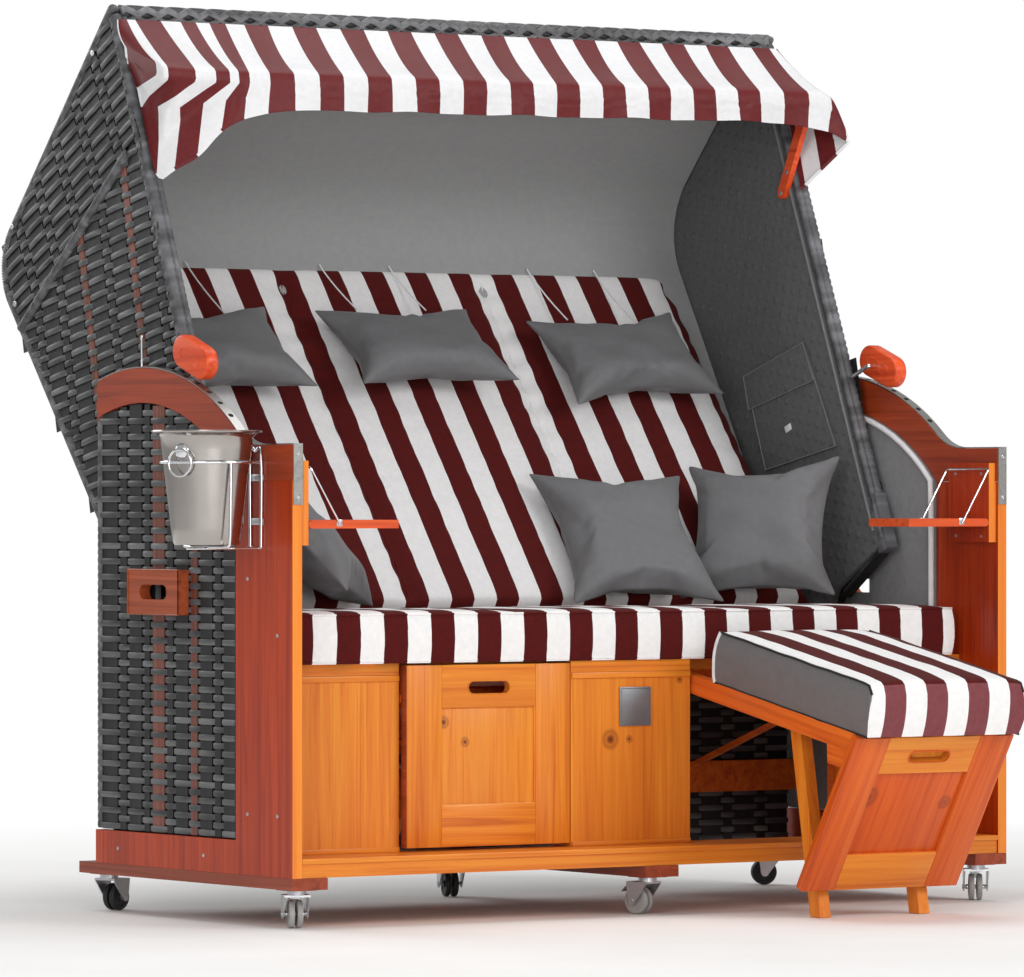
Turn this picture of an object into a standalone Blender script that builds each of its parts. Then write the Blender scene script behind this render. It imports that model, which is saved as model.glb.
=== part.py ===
"""Hooded beach chair for three: a tilting wicker hood over a wooden seat box on castors.

World frame: +X to the right of someone facing the chair, the front faces -Y, +Z up, metres.
While the pieces are made, Y = 0 is the front of the arm posts, X = 0 the middle of the chair
and Z = 0 the floor. The last step moves the root so that the box of all solids stands on the
origin, centred in X and Y.
"""
import math

import bmesh
import bpy
from mathutils import Matrix, Vector
from mathutils.bvhtree import BVHTree

# Driving dimensions, metres

# Clearances
touch_gap = 0.0003
cut_overrun = 0.004
running_gap = 0.0005

# Carcass
carcass_width = 1.60
carcass_depth = 0.68
wood_board = 0.020
runner_width = 0.074
runner_thickness = 0.021
runner_length = 0.740
runner_height = 0.070
post_depth = 0.190
post_seam_height = 0.795
side_rail_height = 0.061
sill_height = 0.0345
sill_depth = 0.160
sill_rebate = 0.003
skirting_height = 0.009

# Armrest arch, drawn about the hood's pivot
pivot_depth = 0.520
pivot_height = 0.480
arch_crown_rise = 0.1435
arch_band = 0.064
arch_thickness = 0.022
arch_flat_rise = 0.0635
arch_fillet_radius = 0.118
arch_reach = 0.675

# Wicker walls
side_wicker_inset = 0.002
side_wicker_thickness = 0.026
rear_wicker_thickness = 0.023
rear_wicker_top = 0.460
pivot_pin_radius = 0.012
pivot_bore_radius = 0.0125
pivot_bore_depth = 0.018
pivot_pin_end_gap = 0.0004

# Fronts below the seat
front_setback = 0.100
front_top = 0.4442
panel_thickness = 0.018
plain_setback = 0.0195
drawer_side_clearance = 0.0047
drawer_width = 0.357
drawer_offset = 0.3145
drawer_bottom = 0.132
drawer_top = 0.462
drawer_frame_width = 0.076
drawer_field_depth = 0.005
hand_slot_width = 0.092
hand_slot_height = 0.024
hand_slot_drop = 0.042
centre_panel_width = 0.268
name_plate_width = 0.070
name_plate_height = 0.072
name_plate_depth = 0.0015
name_plate_level = 0.380
name_plate_offset = 0.008

# Seat box and board
batten_thickness = 0.019
batten_height = 0.040
guide_thickness = 0.005
guide_height = 0.012
guide_front = 0.119
guide_lap = 0.0005
stile_depth = 0.020
cross_rail_depth = 0.019
back_rail_depth = 0.019
back_rail_low = 0.190
back_rail_height = 0.060
batten_offset = 0.180
seat_board_thickness = 0.021
seat_board_setback = 0.070
seat_board_notch = 0.178

# Seat cushion
seat_cushion_thickness = 0.088
seat_cushion_crown = 0.007
seat_cushion_front = 0.090
seat_cushion_lap = 0.025
seat_ear_clearance = 0.055
seat_ear_depth = 0.095
seat_ear_taper = 0.012

# Hood, upright, about its pivot
hood_rest_tilt = 22.0
hood_inset = 0.040
hood_side_thickness = 0.032
hood_front_reach = 0.290
hood_corner_height = 0.093
roof_nose_drop = 0.020
roof_front_setback = 0.016
roof_rise = 0.2745
knee_reach = 0.303
knee_height = 0.9055
knee_radius = 0.115
rear_foot_reach = 0.0385
rear_foot_height = 0.050
hood_boss_radius = 0.042
hood_skirt_reach = 0.113
hood_skirt_height = 0.054
roof_thickness = 0.018
roof_lip_drop = 0.030
roof_lip_depth = 0.022
shell_foot_drop = 0.020

# Backrest pad on the hood
pad_tilt_share = 0.2718
pad_face_reach = 0.0179
pad_face_height = 0.3769
pad_bottom = 0.060
pad_top_drop = 0.0605
pad_thickness = 0.088
pad_crown = 0.020
pad_channel = 0.012
pad_side_clearance = 0.100
pad_sections = 3

# Pillows
neck_pillow_width = 0.370
neck_pillow_height = 0.230
neck_pillow_thickness = 0.090
# Places of the pillows from left to right, as shares of the pad's half width and half height
neck_pillow_across_shares = (-0.714, -0.051, 0.643)
neck_pillow_level_shares = (0.350, 0.389, 0.350)
neck_pillow_leans = (9.0, 13.0, 5.5)
neck_pillow_spins = (5.0, 2.0, 5.0)
pillow_seam = 0.006
pillow_draw_in = 0.022
scatter_size = 0.325
scatter_thickness = 0.112
# Places across as shares of half the chair's width; angles in degrees
scatter_across_shares = (-0.644, 0.322, 0.668)
scatter_leans = (44.0, 39.7, 32.0)
scatter_yaws = (54.0, -9.7, -50.0)
scatter_spins = (-9.5, 0.0, 3.5)

# Latch grips on the hood's sides
latch_angle = 16.5
latch_lean = 4.0
latch_rise = 0.040
latch_length = 0.125
latch_height = 0.060
latch_thickness = 0.028
latch_inset = 0.020
latch_pin_radius = 0.005
latch_pin_clearance = 0.004
latch_guide_radius = 0.005
latch_guide_bend = 0.012

# Awning
awning_pivot_reach = 0.250
awning_pivot_drop = 0.310
awning_bar_reach = 0.400
awning_bar_drop = 0.175
awning_bar_radius = 0.010
awning_arm_width = 0.022
awning_arm_thickness = 0.012
awning_cloth = 0.0030
awning_drop = 0.017
awning_sag = 0.010
awning_valance = 0.070
awning_fold = 0.006
awning_fold_pitch = 0.155
awning_gusset_drop = 0.345
awning_flare = 0.020

# Arm shelves
shelf_length = 0.190
shelf_depth = 0.124
shelf_thickness = 0.015
shelf_front = 0.006
shelf_drop = 0.0775
shelf_plate_drop = 0.115
shelf_plate_rise = 0.035
shelf_plate_thickness = 0.017
stay_reach = 0.0572
stay_length = 0.119
stay_wire_radius = 0.002
stay_side_gap = 0.001

# Carry handles on the sides
handle_centre_depth = 0.443
handle_centre_height = 0.593
handle_width = 0.178
handle_height = 0.082
handle_thickness = 0.022
handle_slot_width = 0.095
handle_slot_height = 0.027

# Ice bucket and its wire holder
bucket_depth = 0.118
bucket_base_drop = 0.114
bucket_height = 0.203
bucket_rim_radius = 0.099
bucket_top_radius = 0.083
bucket_base_radius = 0.060
bucket_wall = 0.0025
bucket_rim_drop = 0.010
bucket_wall_gap = 0.006
holder_wire_radius = 0.003
holder_plate_width = 0.040
holder_plate_thickness = 0.004
holder_ring_rise = 0.146
holder_foot_gap = 0.0005
holder_foot_reach = 0.045

# Castors
castor_wheel_radius = 0.025
castor_wheel_width = 0.0175
castor_wheel_gap = 0.004
castor_axle_radius = 0.004
castor_trail = 0.020
castor_plate_size = 0.052
castor_plate_thickness = 0.002
castor_front_depth = 0.046
castor_rear_depth = 0.694
castor_cup_radius = 0.017
castor_cup_height = 0.009
castor_cheek = 0.0025
castor_cheek_gap = 0.0015
castor_turns = {
    "front_left": 24.0,
    "front_middle": -18.0,
    "front_right": 34.0,
    "rear_left": 70.0,
    "rear_middle": 20.0,
    "rear_right": -60.0,
}

# Footrests: frame and front panel are one rigid angle that runs out on sloping guides
footrest_pitch = 10.8
footrest_panel_lean = 20.5
roller_depth = 0.120
roller_height = 0.4165
roller_radius = 0.008
roller_width = 0.0041
roller_shaft_radius = 0.004
roller_bore_radius = 0.0045
footrest_rail_height = 0.035
footrest_rail_drop = 0.0118
footrest_rail_thickness = 0.020
footrest_rail_tail = 0.014
footrest_rail_spread = 0.350
footrest_reach = 0.542
footrest_slat_width = 0.050
footrest_slat_thickness = 0.012
footrest_slat_inset = 0.040
footrest_slats = 5
footrest_cheek_length = 0.095
footrest_cheek_drop = 0.034
footrest_cheek_slope = 0.008
footrest_panel_gap = 0.0003
leg_reach = 0.276
leg_inset = 0.030
leg_width = 0.030
leg_thickness = 0.024
leg_rod_radius = 0.004
leg_rod_drop = 0.0285
leg_rod_bore_radius = 0.0045
leg_rod_bore_depth = 0.012
leg_rod_end_gap = 0.0005
leg_lean = 21.0
leg_stow_angle = 72.0
leg_bar_drop = 0.250
leg_bar_height = 0.030
leg_bar_thickness = 0.014
footrest_cushion_thickness = 0.094
footrest_cushion_width = 0.356
footrest_cushion_rear = 0.080
footrest_cushion_length = 0.485
footrest_cushion_crown = 0.010

# Sizes that follow from the ones above
half_width = carcass_width / 2
pad_half_width = half_width - pad_side_clearance
seat_cushion_half_front = half_width - seat_ear_clearance
seat_cushion_half_rear = pad_half_width
seat_board_rear = pivot_depth - seat_board_setback
seat_cushion_rear = seat_board_rear - seat_cushion_lap
runner_top = runner_height + runner_thickness
ground_course = runner_top + touch_gap
sill_top = runner_top + sill_height
rail_top = runner_top + touch_gap + side_rail_height
side_inner_inset = side_wicker_inset + side_wicker_thickness
front_plane = front_setback
plain_plane = front_setback + plain_setback
backing_plane = plain_plane + panel_thickness + touch_gap
arch_flat_height = post_seam_height + arch_flat_rise
arch_radius = arch_flat_height + arch_crown_rise - pivot_height
latch_radius = arch_radius + latch_rise
shelf_level = post_seam_height - shelf_drop
shelf_plate_low = post_seam_height - shelf_plate_drop
shelf_plate_high = post_seam_height + shelf_plate_rise
bucket_base_height = post_seam_height - bucket_base_drop
holder_ring_height = bucket_base_height + holder_ring_rise
roof_front_height = knee_height + roof_rise
hood_front_height = roof_front_height - roof_nose_drop
pad_top = knee_height - pad_top_drop
awning_pivot_height = hood_front_height - awning_pivot_drop
awning_bar_height = hood_front_height - awning_bar_drop
awning_gusset_low = hood_front_height - awning_gusset_drop
seat_board_low = front_top + touch_gap
seat_board_top = seat_board_low + seat_board_thickness
hood_inner_inset = hood_inset + hood_side_thickness
shell_half_width = half_width - hood_inner_inset - touch_gap
rear_wicker_front = arch_reach - rear_wicker_thickness
drawer_half = drawer_width / 2
plain_panel_width = half_width - wood_board - touch_gap - drawer_offset - drawer_half - drawer_side_clearance
rail_outer = footrest_rail_spread / 2
batten_low = front_top - batten_height
cross_rail_front = seat_board_rear - cross_rail_depth
plate_inset = wood_board + touch_gap + shelf_plate_thickness
shelf_axis_inset = plate_inset + running_gap + shelf_thickness / 2
stay_lean = math.asin((shelf_thickness / 2 + stay_reach - stay_wire_radius) / stay_length)
bucket_centre_x = -half_width - bucket_rim_radius - bucket_wall_gap

# Which sides the copies of a piece stand on, as factors of X
sides = {"left": -1, "right": 1}

# Surface of each kind of piece: sRGB colour, roughness, metallic value
finishes = {
    "wood": ("D9722A", 0.42, 0.0),
    "wicker": ("4B4E52", 0.60, 0.0),
    "grey_cloth": ("6A6C6E", 0.90, 0.0),
    "striped_cloth": ("7A2A2C", 0.88, 0.0),
    "steel": ("B9BCC0", 0.32, 1.0),
    "polished_steel": ("D4D6D9", 0.15, 1.0),
    "rubber": ("8A8B8D", 0.70, 0.0),
}


def linear(channel):
    """The linear value of one sRGB channel between 0 and 1."""
    if channel <= 0.04045:
        return channel / 12.92
    return ((channel + 0.055) / 1.055) ** 2.4


def finish_material(name, finish):
    """A Principled material for one piece."""
    colour, roughness, metallic = finishes[finish]
    channels = [linear(int(colour[i:i + 2], 16) / 255) for i in (0, 2, 4)]
    material = bpy.data.materials.new(name + "_finish")
    material.use_nodes = True
    shader = material.node_tree.nodes["Principled BSDF"]
    shader.inputs["Base Color"].default_value = (*channels, 1.0)
    shader.inputs["Roughness"].default_value = roughness
    shader.inputs["Metallic"].default_value = metallic
    return material


def pivot(name, place, parent, tilt=0.0, turn=0.0):
    """An empty that carries a joint's axis; tilt turns it about X and turn about Z, in degrees."""
    empty = bpy.data.objects.new(name, None)
    bpy.context.scene.collection.objects.link(empty)
    empty.parent = parent
    empty.location = place
    empty.rotation_euler = (math.radians(tilt), 0.0, math.radians(turn))
    return empty


def solid(name, build, finish, parent, smooth_angle=None):
    """A mesh object whose faces come from build(bm)."""
    mesh = bpy.data.meshes.new(name)
    bm = bmesh.new()
    build(bm)
    bmesh.ops.recalc_face_normals(bm, faces=bm.faces)
    bm.to_mesh(mesh)
    bm.free()
    if smooth_angle is not None:
        mesh.shade_smooth()
        mesh.set_sharp_from_angle(angle=math.radians(smooth_angle))
    obj = bpy.data.objects.new(name, mesh)
    bpy.context.scene.collection.objects.link(obj)
    obj.parent = parent
    if finish:
        mesh.materials.append(finish_material(name, finish))
    return obj


def shape_with(target, label, build, operation):
    """Join or cut target with a helper body that stays hidden."""
    tool = solid(target.name + "_" + label, build, None, target.parent)
    tool.hide_render = True
    tool.display_type = "WIRE"
    modifier = target.modifiers.new(label, "BOOLEAN")
    modifier.operation = operation
    modifier.solver = "EXACT"
    modifier.object = tool


def join(target, label, build):
    shape_with(target, label, build, "UNION")


def cut(target, label, build):
    shape_with(target, label, build, "DIFFERENCE")


def prism(outline, plane, low, high):
    """A builder for a straight prism: the outline lies in plane and runs from low to high."""
    place = {
        "YZ": lambda a, b, c: (c, a, b),
        "XZ": lambda a, b, c: (a, c, b),
        "XY": lambda a, b, c: (a, b, c),
    }[plane]

    def build(bm):
        near = [bm.verts.new(place(a, b, low)) for a, b in outline]
        far = [bm.verts.new(place(a, b, high)) for a, b in outline]
        bm.faces.new(near)
        bm.faces.new(list(reversed(far)))
        for i in range(len(outline)):
            j = (i + 1) % len(outline)
            bm.faces.new((near[i], far[i], far[j], near[j]))

    return build


def box(x_range, y_range, z_range):
    """A builder for a straight box."""
    (x_low, x_high), (y_low, y_high), (z_low, z_high) = x_range, y_range, z_range
    outline = ((y_low, z_low), (y_high, z_low), (y_high, z_high), (y_low, z_high))
    return prism(outline, "YZ", x_low, x_high)


def side_range(side, outer_inset, inner_inset):
    """X range between two insets from the outer plane of one side."""
    ends = (side * (half_width - outer_inset), side * (half_width - inner_inset))
    return min(ends), max(ends)


def arc(centre, radius, start, end, steps):
    """Points on an arc; the angles are in degrees from the first axis."""
    points = []
    for i in range(steps + 1):
        angle = math.radians(start + (end - start) * i / steps)
        points.append((centre[0] + radius * math.cos(angle), centre[1] + radius * math.sin(angle)))
    return points


def rod(axis, centre, radius, low, high, sides_count=24):
    """A builder for a round rod along X, Y or Z; centre is given in the other two axes."""
    plane = {"X": "YZ", "Y": "XZ", "Z": "XY"}[axis]
    outline = arc(centre, radius, 0.0, 360.0, sides_count)[:-1]
    return prism(outline, plane, low, high)


def turned(axis, centre, profile, steps):
    """A builder for a turned body: profile is a closed loop of (along, radius) points."""
    def build(bm):
        rings = []
        for i in range(steps):
            angle = 2 * math.pi * i / steps
            ring = []
            for along, radius in profile:
                a = centre[0] + radius * math.sin(angle)
                b = centre[1] - radius * math.cos(angle)
                ring.append(bm.verts.new((along, a, b) if axis == "X" else (a, b, along)))
            rings.append(ring)
        for i in range(steps):
            this, after = rings[i], rings[(i + 1) % steps]
            for j in range(len(profile)):
                k = (j + 1) % len(profile)
                if profile[j][1] == 0 and profile[k][1] == 0:
                    continue
                bm.faces.new((this[j], this[k], after[k], after[j]))
        bmesh.ops.remove_doubles(bm, verts=bm.verts, dist=touch_gap / 30)
        bmesh.ops.dissolve_degenerate(bm, edges=bm.edges, dist=touch_gap / 30)

    return build


def tube(path, radius, sides_count):
    """A builder for a round wire along a path, with flat ends."""
    points = [Vector(point) for point in path]

    def build(bm):
        tangents = []
        for i, point in enumerate(points):
            before = points[max(i - 1, 0)]
            after = points[min(i + 1, len(points) - 1)]
            tangents.append((after - before).normalized())
        across = tangents[0].orthogonal().normalized()
        rings = []
        for point, tangent in zip(points, tangents):
            across = (across - tangent * across.dot(tangent)).normalized()
            other = tangent.cross(across)
            ring = []
            for i in range(sides_count):
                angle = 2 * math.pi * i / sides_count
                offset = across * math.cos(angle) + other * math.sin(angle)
                ring.append(bm.verts.new(point + offset * radius))
            rings.append(ring)
        for this, after in zip(rings, rings[1:]):
            for i in range(sides_count):
                j = (i + 1) % sides_count
                bm.faces.new((this[i], this[j], after[j], after[i]))
        bm.faces.new(list(reversed(rings[0])))
        bm.faces.new(rings[-1])

    return build


def rounded_path(corners, radius, steps):
    """A path through corners with each inner corner turned on a curve of about this radius."""
    path = [Vector(corners[0])]
    for before, corner, after in zip(corners, corners[1:], corners[2:]):
        corner = Vector(corner)
        start = corner + (Vector(before) - corner).normalized() * radius
        end = corner + (Vector(after) - corner).normalized() * radius
        for i in range(steps + 1):
            share = i / steps
            path.append(start.lerp(corner, share).lerp(corner.lerp(end, share), share))
    path.append(Vector(corners[-1]))
    return path


def stadium(centre, length, height, lean, steps):
    """A slot outline with round ends, its length leaning by lean degrees."""
    half = (length - height) / 2
    points = arc((half, 0.0), height / 2, -90.0, 90.0, steps)
    points += arc((-half, 0.0), height / 2, 90.0, 270.0, steps)
    c, s = math.cos(math.radians(lean)), math.sin(math.radians(lean))
    return [(centre[0] + a * c - b * s, centre[1] + a * s + b * c) for a, b in points]


def block(counts, shape):
    """A builder for a closed block of cells; shape maps unit corners (-1 to 1) to metres."""
    columns, rows, layers = counts

    def build(bm):
        corners = {}

        def corner(i, j, k):
            if (i, j, k) not in corners:
                unit = (2 * i / columns - 1, 2 * j / rows - 1, 2 * k / layers - 1)
                corners[i, j, k] = bm.verts.new(shape(*unit))
            return corners[i, j, k]

        for i in range(columns):
            for j in range(rows):
                for k in (0, layers):
                    bm.faces.new((corner(i, j, k), corner(i + 1, j, k),
                                  corner(i + 1, j + 1, k), corner(i, j + 1, k)))
        for i in range(columns):
            for k in range(layers):
                for j in (0, rows):
                    bm.faces.new((corner(i, j, k), corner(i + 1, j, k),
                                  corner(i + 1, j, k + 1), corner(i, j, k + 1)))
        for j in range(rows):
            for k in range(layers):
                for i in (0, columns):
                    bm.faces.new((corner(i, j, k), corner(i, j + 1, k),
                                  corner(i, j + 1, k + 1), corner(i, j, k + 1)))

    return build


def meeting_point(a, b, c, d):
    """Where the line through a and b meets the line through c and d."""
    ab = (b[0] - a[0], b[1] - a[1])
    cd = (d[0] - c[0], d[1] - c[1])
    share = ((c[0] - a[0]) * cd[1] - (c[1] - a[1]) * cd[0]) / (ab[0] * cd[1] - ab[1] * cd[0])
    return a[0] + ab[0] * share, a[1] + ab[1] * share


# Carcass

def arch_top(inset):
    """Front and top line of the arch, lowered by inset: flat, hollow fillet, then the arc."""
    radius = arch_fillet_radius + inset
    flat = arch_flat_height - inset
    centre_height = flat + radius
    reach = math.sqrt((arch_radius + arch_fillet_radius) ** 2 - (centre_height - pivot_height) ** 2)
    flat_end = pivot_depth - reach
    angle = math.degrees(math.atan2(pivot_height - centre_height, reach))
    fillet = arc((flat_end, centre_height), radius, -90.0, angle, 6)
    outer = arch_radius - inset
    start = 180.0 + angle
    end = math.degrees(math.acos((arch_reach - pivot_depth) / outer))
    return fillet, arc((pivot_depth, pivot_height), outer, start, end, 20)


def arch_outline():
    fillet, top = arch_top(0.0)
    inner = arch_radius - arch_band
    start = math.degrees(math.acos((arch_reach - pivot_depth) / inner))
    end = 180.0 - math.degrees(math.asin((post_seam_height - pivot_height) / inner))
    under = arc((pivot_depth, pivot_height), inner, start, end, 18)
    front = [(0.0, post_seam_height), (0.0, arch_flat_height)]
    return front + fillet + top[1:] + under


def wicker_outline():
    """Side wall under the arch and its seam, behind the post and above the bottom rail."""
    inner = arch_radius - arch_band - touch_gap
    front = post_depth + touch_gap
    low = rail_top + touch_gap
    seam = post_seam_height - touch_gap
    start = math.degrees(math.acos((arch_reach - pivot_depth) / inner))
    end = 180.0 - math.degrees(math.asin((seam - pivot_height) / inner))
    corner = [(front, seam)]
    if pivot_depth + inner * math.cos(math.radians(end)) < front:
        end = math.degrees(math.acos((front - pivot_depth) / inner))
        corner = []
    under = arc((pivot_depth, pivot_height), inner, start, end, 18)
    return [(front, low), (arch_reach, low)] + under + corner


def build_runners(root):
    centres = {"left": -1, "middle": 0, "right": 1}
    for name, side in centres.items():
        middle = side * (half_width - runner_width / 2)
        across = (middle - runner_width / 2, middle + runner_width / 2)
        runner = solid("runner_" + name, box(across, (0.0, runner_length), (runner_height, runner_top)),
                       "wood", root)
        plate_half = castor_plate_size / 2
        plate_across = (middle - plate_half, middle + plate_half)
        plate_up = (runner_height - castor_plate_thickness, runner_height + castor_plate_thickness)
        for place, depth in (("front", castor_front_depth), ("rear", castor_rear_depth)):
            plate = box(plate_across, (depth - plate_half, depth + plate_half), plate_up)
            join(runner, place + "_castor_plate", plate)


def build_side(name, side, root):
    """Wooden side frame, arch and wicker wall of one arm, with the carry handle."""
    frame = solid("side_frame_" + name,
                  box(side_range(side, 0.0, wood_board), (0.0, post_depth),
                      (ground_course, post_seam_height - touch_gap)), "wood", root)
    join(frame, "bottom_rail",
         box(side_range(side, 0.0, wood_board), (post_depth - cut_overrun, carcass_depth),
             (ground_course, rail_top)))
    join(frame, "shelf_plate",
         box(side_range(side, wood_board - cut_overrun, plate_inset),
             (shelf_front, shelf_front + shelf_depth),
             (shelf_plate_low, post_seam_height - touch_gap)))
    join(frame, "shelf_plate_top",
         box(side_range(side, arch_thickness + touch_gap, plate_inset),
             (shelf_front, shelf_front + shelf_depth),
             (post_seam_height - cut_overrun, shelf_plate_high)))
    solid("arch_" + name, prism(arch_outline(), "YZ", *side_range(side, 0.0, arch_thickness)),
          "wood", root)

    wall = solid("side_wicker_" + name,
                 prism(wicker_outline(), "YZ", *side_range(side, side_wicker_inset, side_inner_inset)),
                 "wicker", root)
    bore = rod("X", (pivot_depth, pivot_height), pivot_bore_radius,
               *side_range(side, side_inner_inset - pivot_bore_depth, side_inner_inset + cut_overrun))
    cut(wall, "pivot_bore", bore)
    slot = stadium((handle_centre_depth, handle_centre_height), handle_slot_width,
                   handle_slot_height, 0.0, 6)
    slot_range = side_range(side, -handle_thickness - cut_overrun, side_inner_inset + cut_overrun)
    cut(wall, "hand_slot", prism(slot, "YZ", *slot_range))
    half_across = handle_width / 2
    half_up = handle_height / 2
    handle = solid("carry_handle_" + name,
                   box(side_range(side, side_wicker_inset - handle_thickness,
                                  side_wicker_inset - touch_gap),
                       (handle_centre_depth - half_across, handle_centre_depth + half_across),
                       (handle_centre_height - half_up, handle_centre_height + half_up)),
                   "wood", root)
    cut(handle, "hand_slot", prism(slot, "YZ", *slot_range))


def build_rear_wall(root):
    reach = half_width - side_inner_inset - touch_gap
    solid("rear_wicker", box((-reach, reach), (rear_wicker_front, arch_reach),
                             (ground_course, rear_wicker_top)), "wicker", root)


def build_fronts(root):
    """Sill, the plain panels left, centre and right, and the bare plate on the centre one."""
    inside = half_width - wood_board - touch_gap
    step = sill_top - skirting_height
    outline = ((sill_rebate, ground_course), (sill_depth, ground_course), (sill_depth, sill_top),
               (0.0, sill_top), (0.0, step), (sill_rebate, step))
    solid("front_sill", prism(outline, "YZ", -inside, inside), "wood", root)
    panel_up = (sill_top + touch_gap, front_top)
    for name, side in sides.items():
        outer = side * inside
        inner = side * (inside - plain_panel_width)
        solid("front_panel_" + name,
              box((min(outer, inner), max(outer, inner)),
                  (plain_plane, plain_plane + panel_thickness), panel_up), "wood", root)
    half_panel = centre_panel_width / 2
    centre = solid("front_panel_centre",
                   box((-half_panel, half_panel), (front_plane, plain_plane + panel_thickness),
                       panel_up), "wood", root)
    plate_low = name_plate_level - name_plate_height / 2
    join(centre, "bare_plate",
         box((name_plate_offset - name_plate_width / 2, name_plate_offset + name_plate_width / 2),
             (front_plane - name_plate_depth, front_plane + cut_overrun),
             (plate_low, plate_low + name_plate_height)))


def guide_line(clearance):
    """Two points of a line parallel to the rollers' path, this far below it."""
    stowed = stowed_roller_place()
    run = (stowed[0] - roller_depth, stowed[1] - roller_height)
    length = math.hypot(*run)
    normal = (run[1] / length, -run[0] / length)
    first = (roller_depth + normal[0] * clearance, roller_height + normal[1] * clearance)
    return first, (first[0] + run[0], first[1] + run[1])


def stowed_roller_place():
    """Where the rollers stand when the panel is upright and closes the front."""
    lean = math.radians(footrest_panel_lean)
    along = footrest_reach - panel_thickness / math.cos(lean) - footrest_panel_gap
    down = footrest_rail_height - footrest_rail_drop
    depth = along * math.cos(lean) - down * math.sin(lean)
    drop = along * math.sin(lean) + down * math.cos(lean)
    return front_plane + panel_thickness + footrest_panel_gap + depth, drawer_top - drop


def build_seat_box(root):
    """Stiles, seat battens and the four sloping guides that carry the footrests."""
    reach = half_width - side_inner_inset - touch_gap
    rail_front = rear_wicker_front - touch_gap - back_rail_depth
    seat_box = solid("seat_box",
                     box((-reach, reach), (rail_front, rear_wicker_front - touch_gap),
                         (back_rail_low, back_rail_low + back_rail_height)), "wood", root)
    join(seat_box, "cross_rail",
         box((-reach, reach), (cross_rail_front, seat_board_rear), (batten_low, front_top)))
    upper = roller_radius + touch_gap
    top_front, top_rear = guide_line(upper)
    low_front, low_rear = guide_line(upper + guide_height)
    guide_rear = rail_front + back_rail_depth / 2
    slope = (top_rear[1] - top_front[1]) / (top_rear[0] - top_front[0])

    def on_line(start, depth):
        return depth, start[1] + (depth - start[0]) * slope

    outline = (on_line(low_front, guide_front), on_line(low_front, guide_rear),
               on_line(top_front, guide_rear), on_line(top_front, guide_front))
    for name, side in sides.items():
        for edge in (-1, 1):
            middle = side * drawer_offset
            inner = middle + edge * batten_offset
            outer = inner + edge * batten_thickness
            across = (min(inner, outer), max(inner, outer))
            label = name + ("_outer" if edge == side else "_inner")
            join(seat_box, label + "_stile",
                 box(across, (backing_plane, backing_plane + stile_depth),
                     (sill_top + touch_gap, front_top)))
            join(seat_box, label + "_batten",
                 box(across, (backing_plane + stile_depth / 2, cross_rail_front + cut_overrun),
                     (batten_low, front_top)))
            guide_outer = inner + edge * guide_lap
            guide_inner = guide_outer - edge * guide_thickness
            join(seat_box, label + "_guide",
                 prism(outline, "YZ", min(guide_inner, guide_outer), max(guide_inner, guide_outer)))


def build_seat_board(root):
    """Board under the seat cushion, notched over both footrests."""
    reach = half_width - side_inner_inset - touch_gap
    half_panel = centre_panel_width / 2
    inside = half_width - wood_board - touch_gap
    plain_edge = inside - plain_panel_width
    right = ((half_panel, front_plane), (half_panel, seat_board_notch), (plain_edge, seat_board_notch),
             (plain_edge, plain_plane), (inside, plain_plane), (inside, post_depth),
             (reach, post_depth), (reach, seat_board_rear))
    left = [(-x, y) for x, y in reversed(right)]
    solid("seat_board", prism(list(right) + left, "XY", seat_board_low, seat_board_top), "wood", root)


def build_bucket(root):
    """Ice bucket in a wire holder on the left post."""
    centre = (bucket_centre_x, bucket_depth)
    top = bucket_base_height + bucket_height
    lip = top - bucket_rim_drop
    profile = (
        (bucket_base_height, 0.0),
        (bucket_base_height, bucket_base_radius),
        (lip - bucket_rim_drop, bucket_top_radius),
        (lip, bucket_rim_radius),
        (top, bucket_rim_radius),
        (top, bucket_rim_radius - bucket_wall),
        (lip, bucket_top_radius - bucket_wall),
        (bucket_base_height + bucket_wall, bucket_base_radius - bucket_wall),
        (bucket_base_height + bucket_wall, 0.0),
    )
    solid("bucket", turned("Z", centre, profile, 32), "polished_steel", root, 40.0)

    share = (holder_ring_height - bucket_base_height) / (lip - bucket_rim_drop - bucket_base_height)
    body_radius = bucket_base_radius + (bucket_top_radius - bucket_base_radius) * share
    ring_radius = body_radius + holder_wire_radius + holder_foot_gap * 2
    foot_height = bucket_base_height - holder_foot_gap - holder_wire_radius
    outer_face = -half_width - touch_gap
    plate = solid("bucket_holder",
                  box((outer_face - holder_plate_thickness, outer_face),
                      (bucket_depth - holder_plate_width / 2, bucket_depth + holder_plate_width / 2),
                      (foot_height, holder_ring_height + holder_plate_width / 2)),
                  "steel", root, 40.0)
    reach = holder_plate_width / 4
    opening = math.degrees(math.asin(reach / ring_radius))
    ring = [(x, y, holder_ring_height) for x, y in
            arc(centre, ring_radius, opening, 360.0 - opening, 28)]
    wall = outer_face - holder_plate_thickness / 2
    start = (wall, ring[0][1], holder_ring_height)
    end = (wall, ring[-1][1], holder_ring_height)
    join(plate, "ring", tube([start] + ring + [end], holder_wire_radius, 6))
    low_corner, high_corner = bucket_depth - ring_radius, bucket_depth + ring_radius
    stirrup = rounded_path(
        ((bucket_centre_x, low_corner, holder_ring_height),
         (bucket_centre_x, low_corner, foot_height),
         (bucket_centre_x, high_corner, foot_height),
         (bucket_centre_x, high_corner, holder_ring_height)),
        holder_wire_radius * 4, 4)
    join(plate, "stirrup", tube(stirrup, holder_wire_radius, 6))
    arm = ((wall, bucket_depth, foot_height + holder_wire_radius / 2),
           (bucket_centre_x - holder_foot_reach, bucket_depth, foot_height + holder_wire_radius / 2))
    join(plate, "foot_arm",
         box((arm[1][0], arm[0][0]), (bucket_depth - holder_wire_radius, bucket_depth + holder_wire_radius),
             (foot_height - holder_wire_radius, foot_height + holder_wire_radius / 2)))


# Castors

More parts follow.
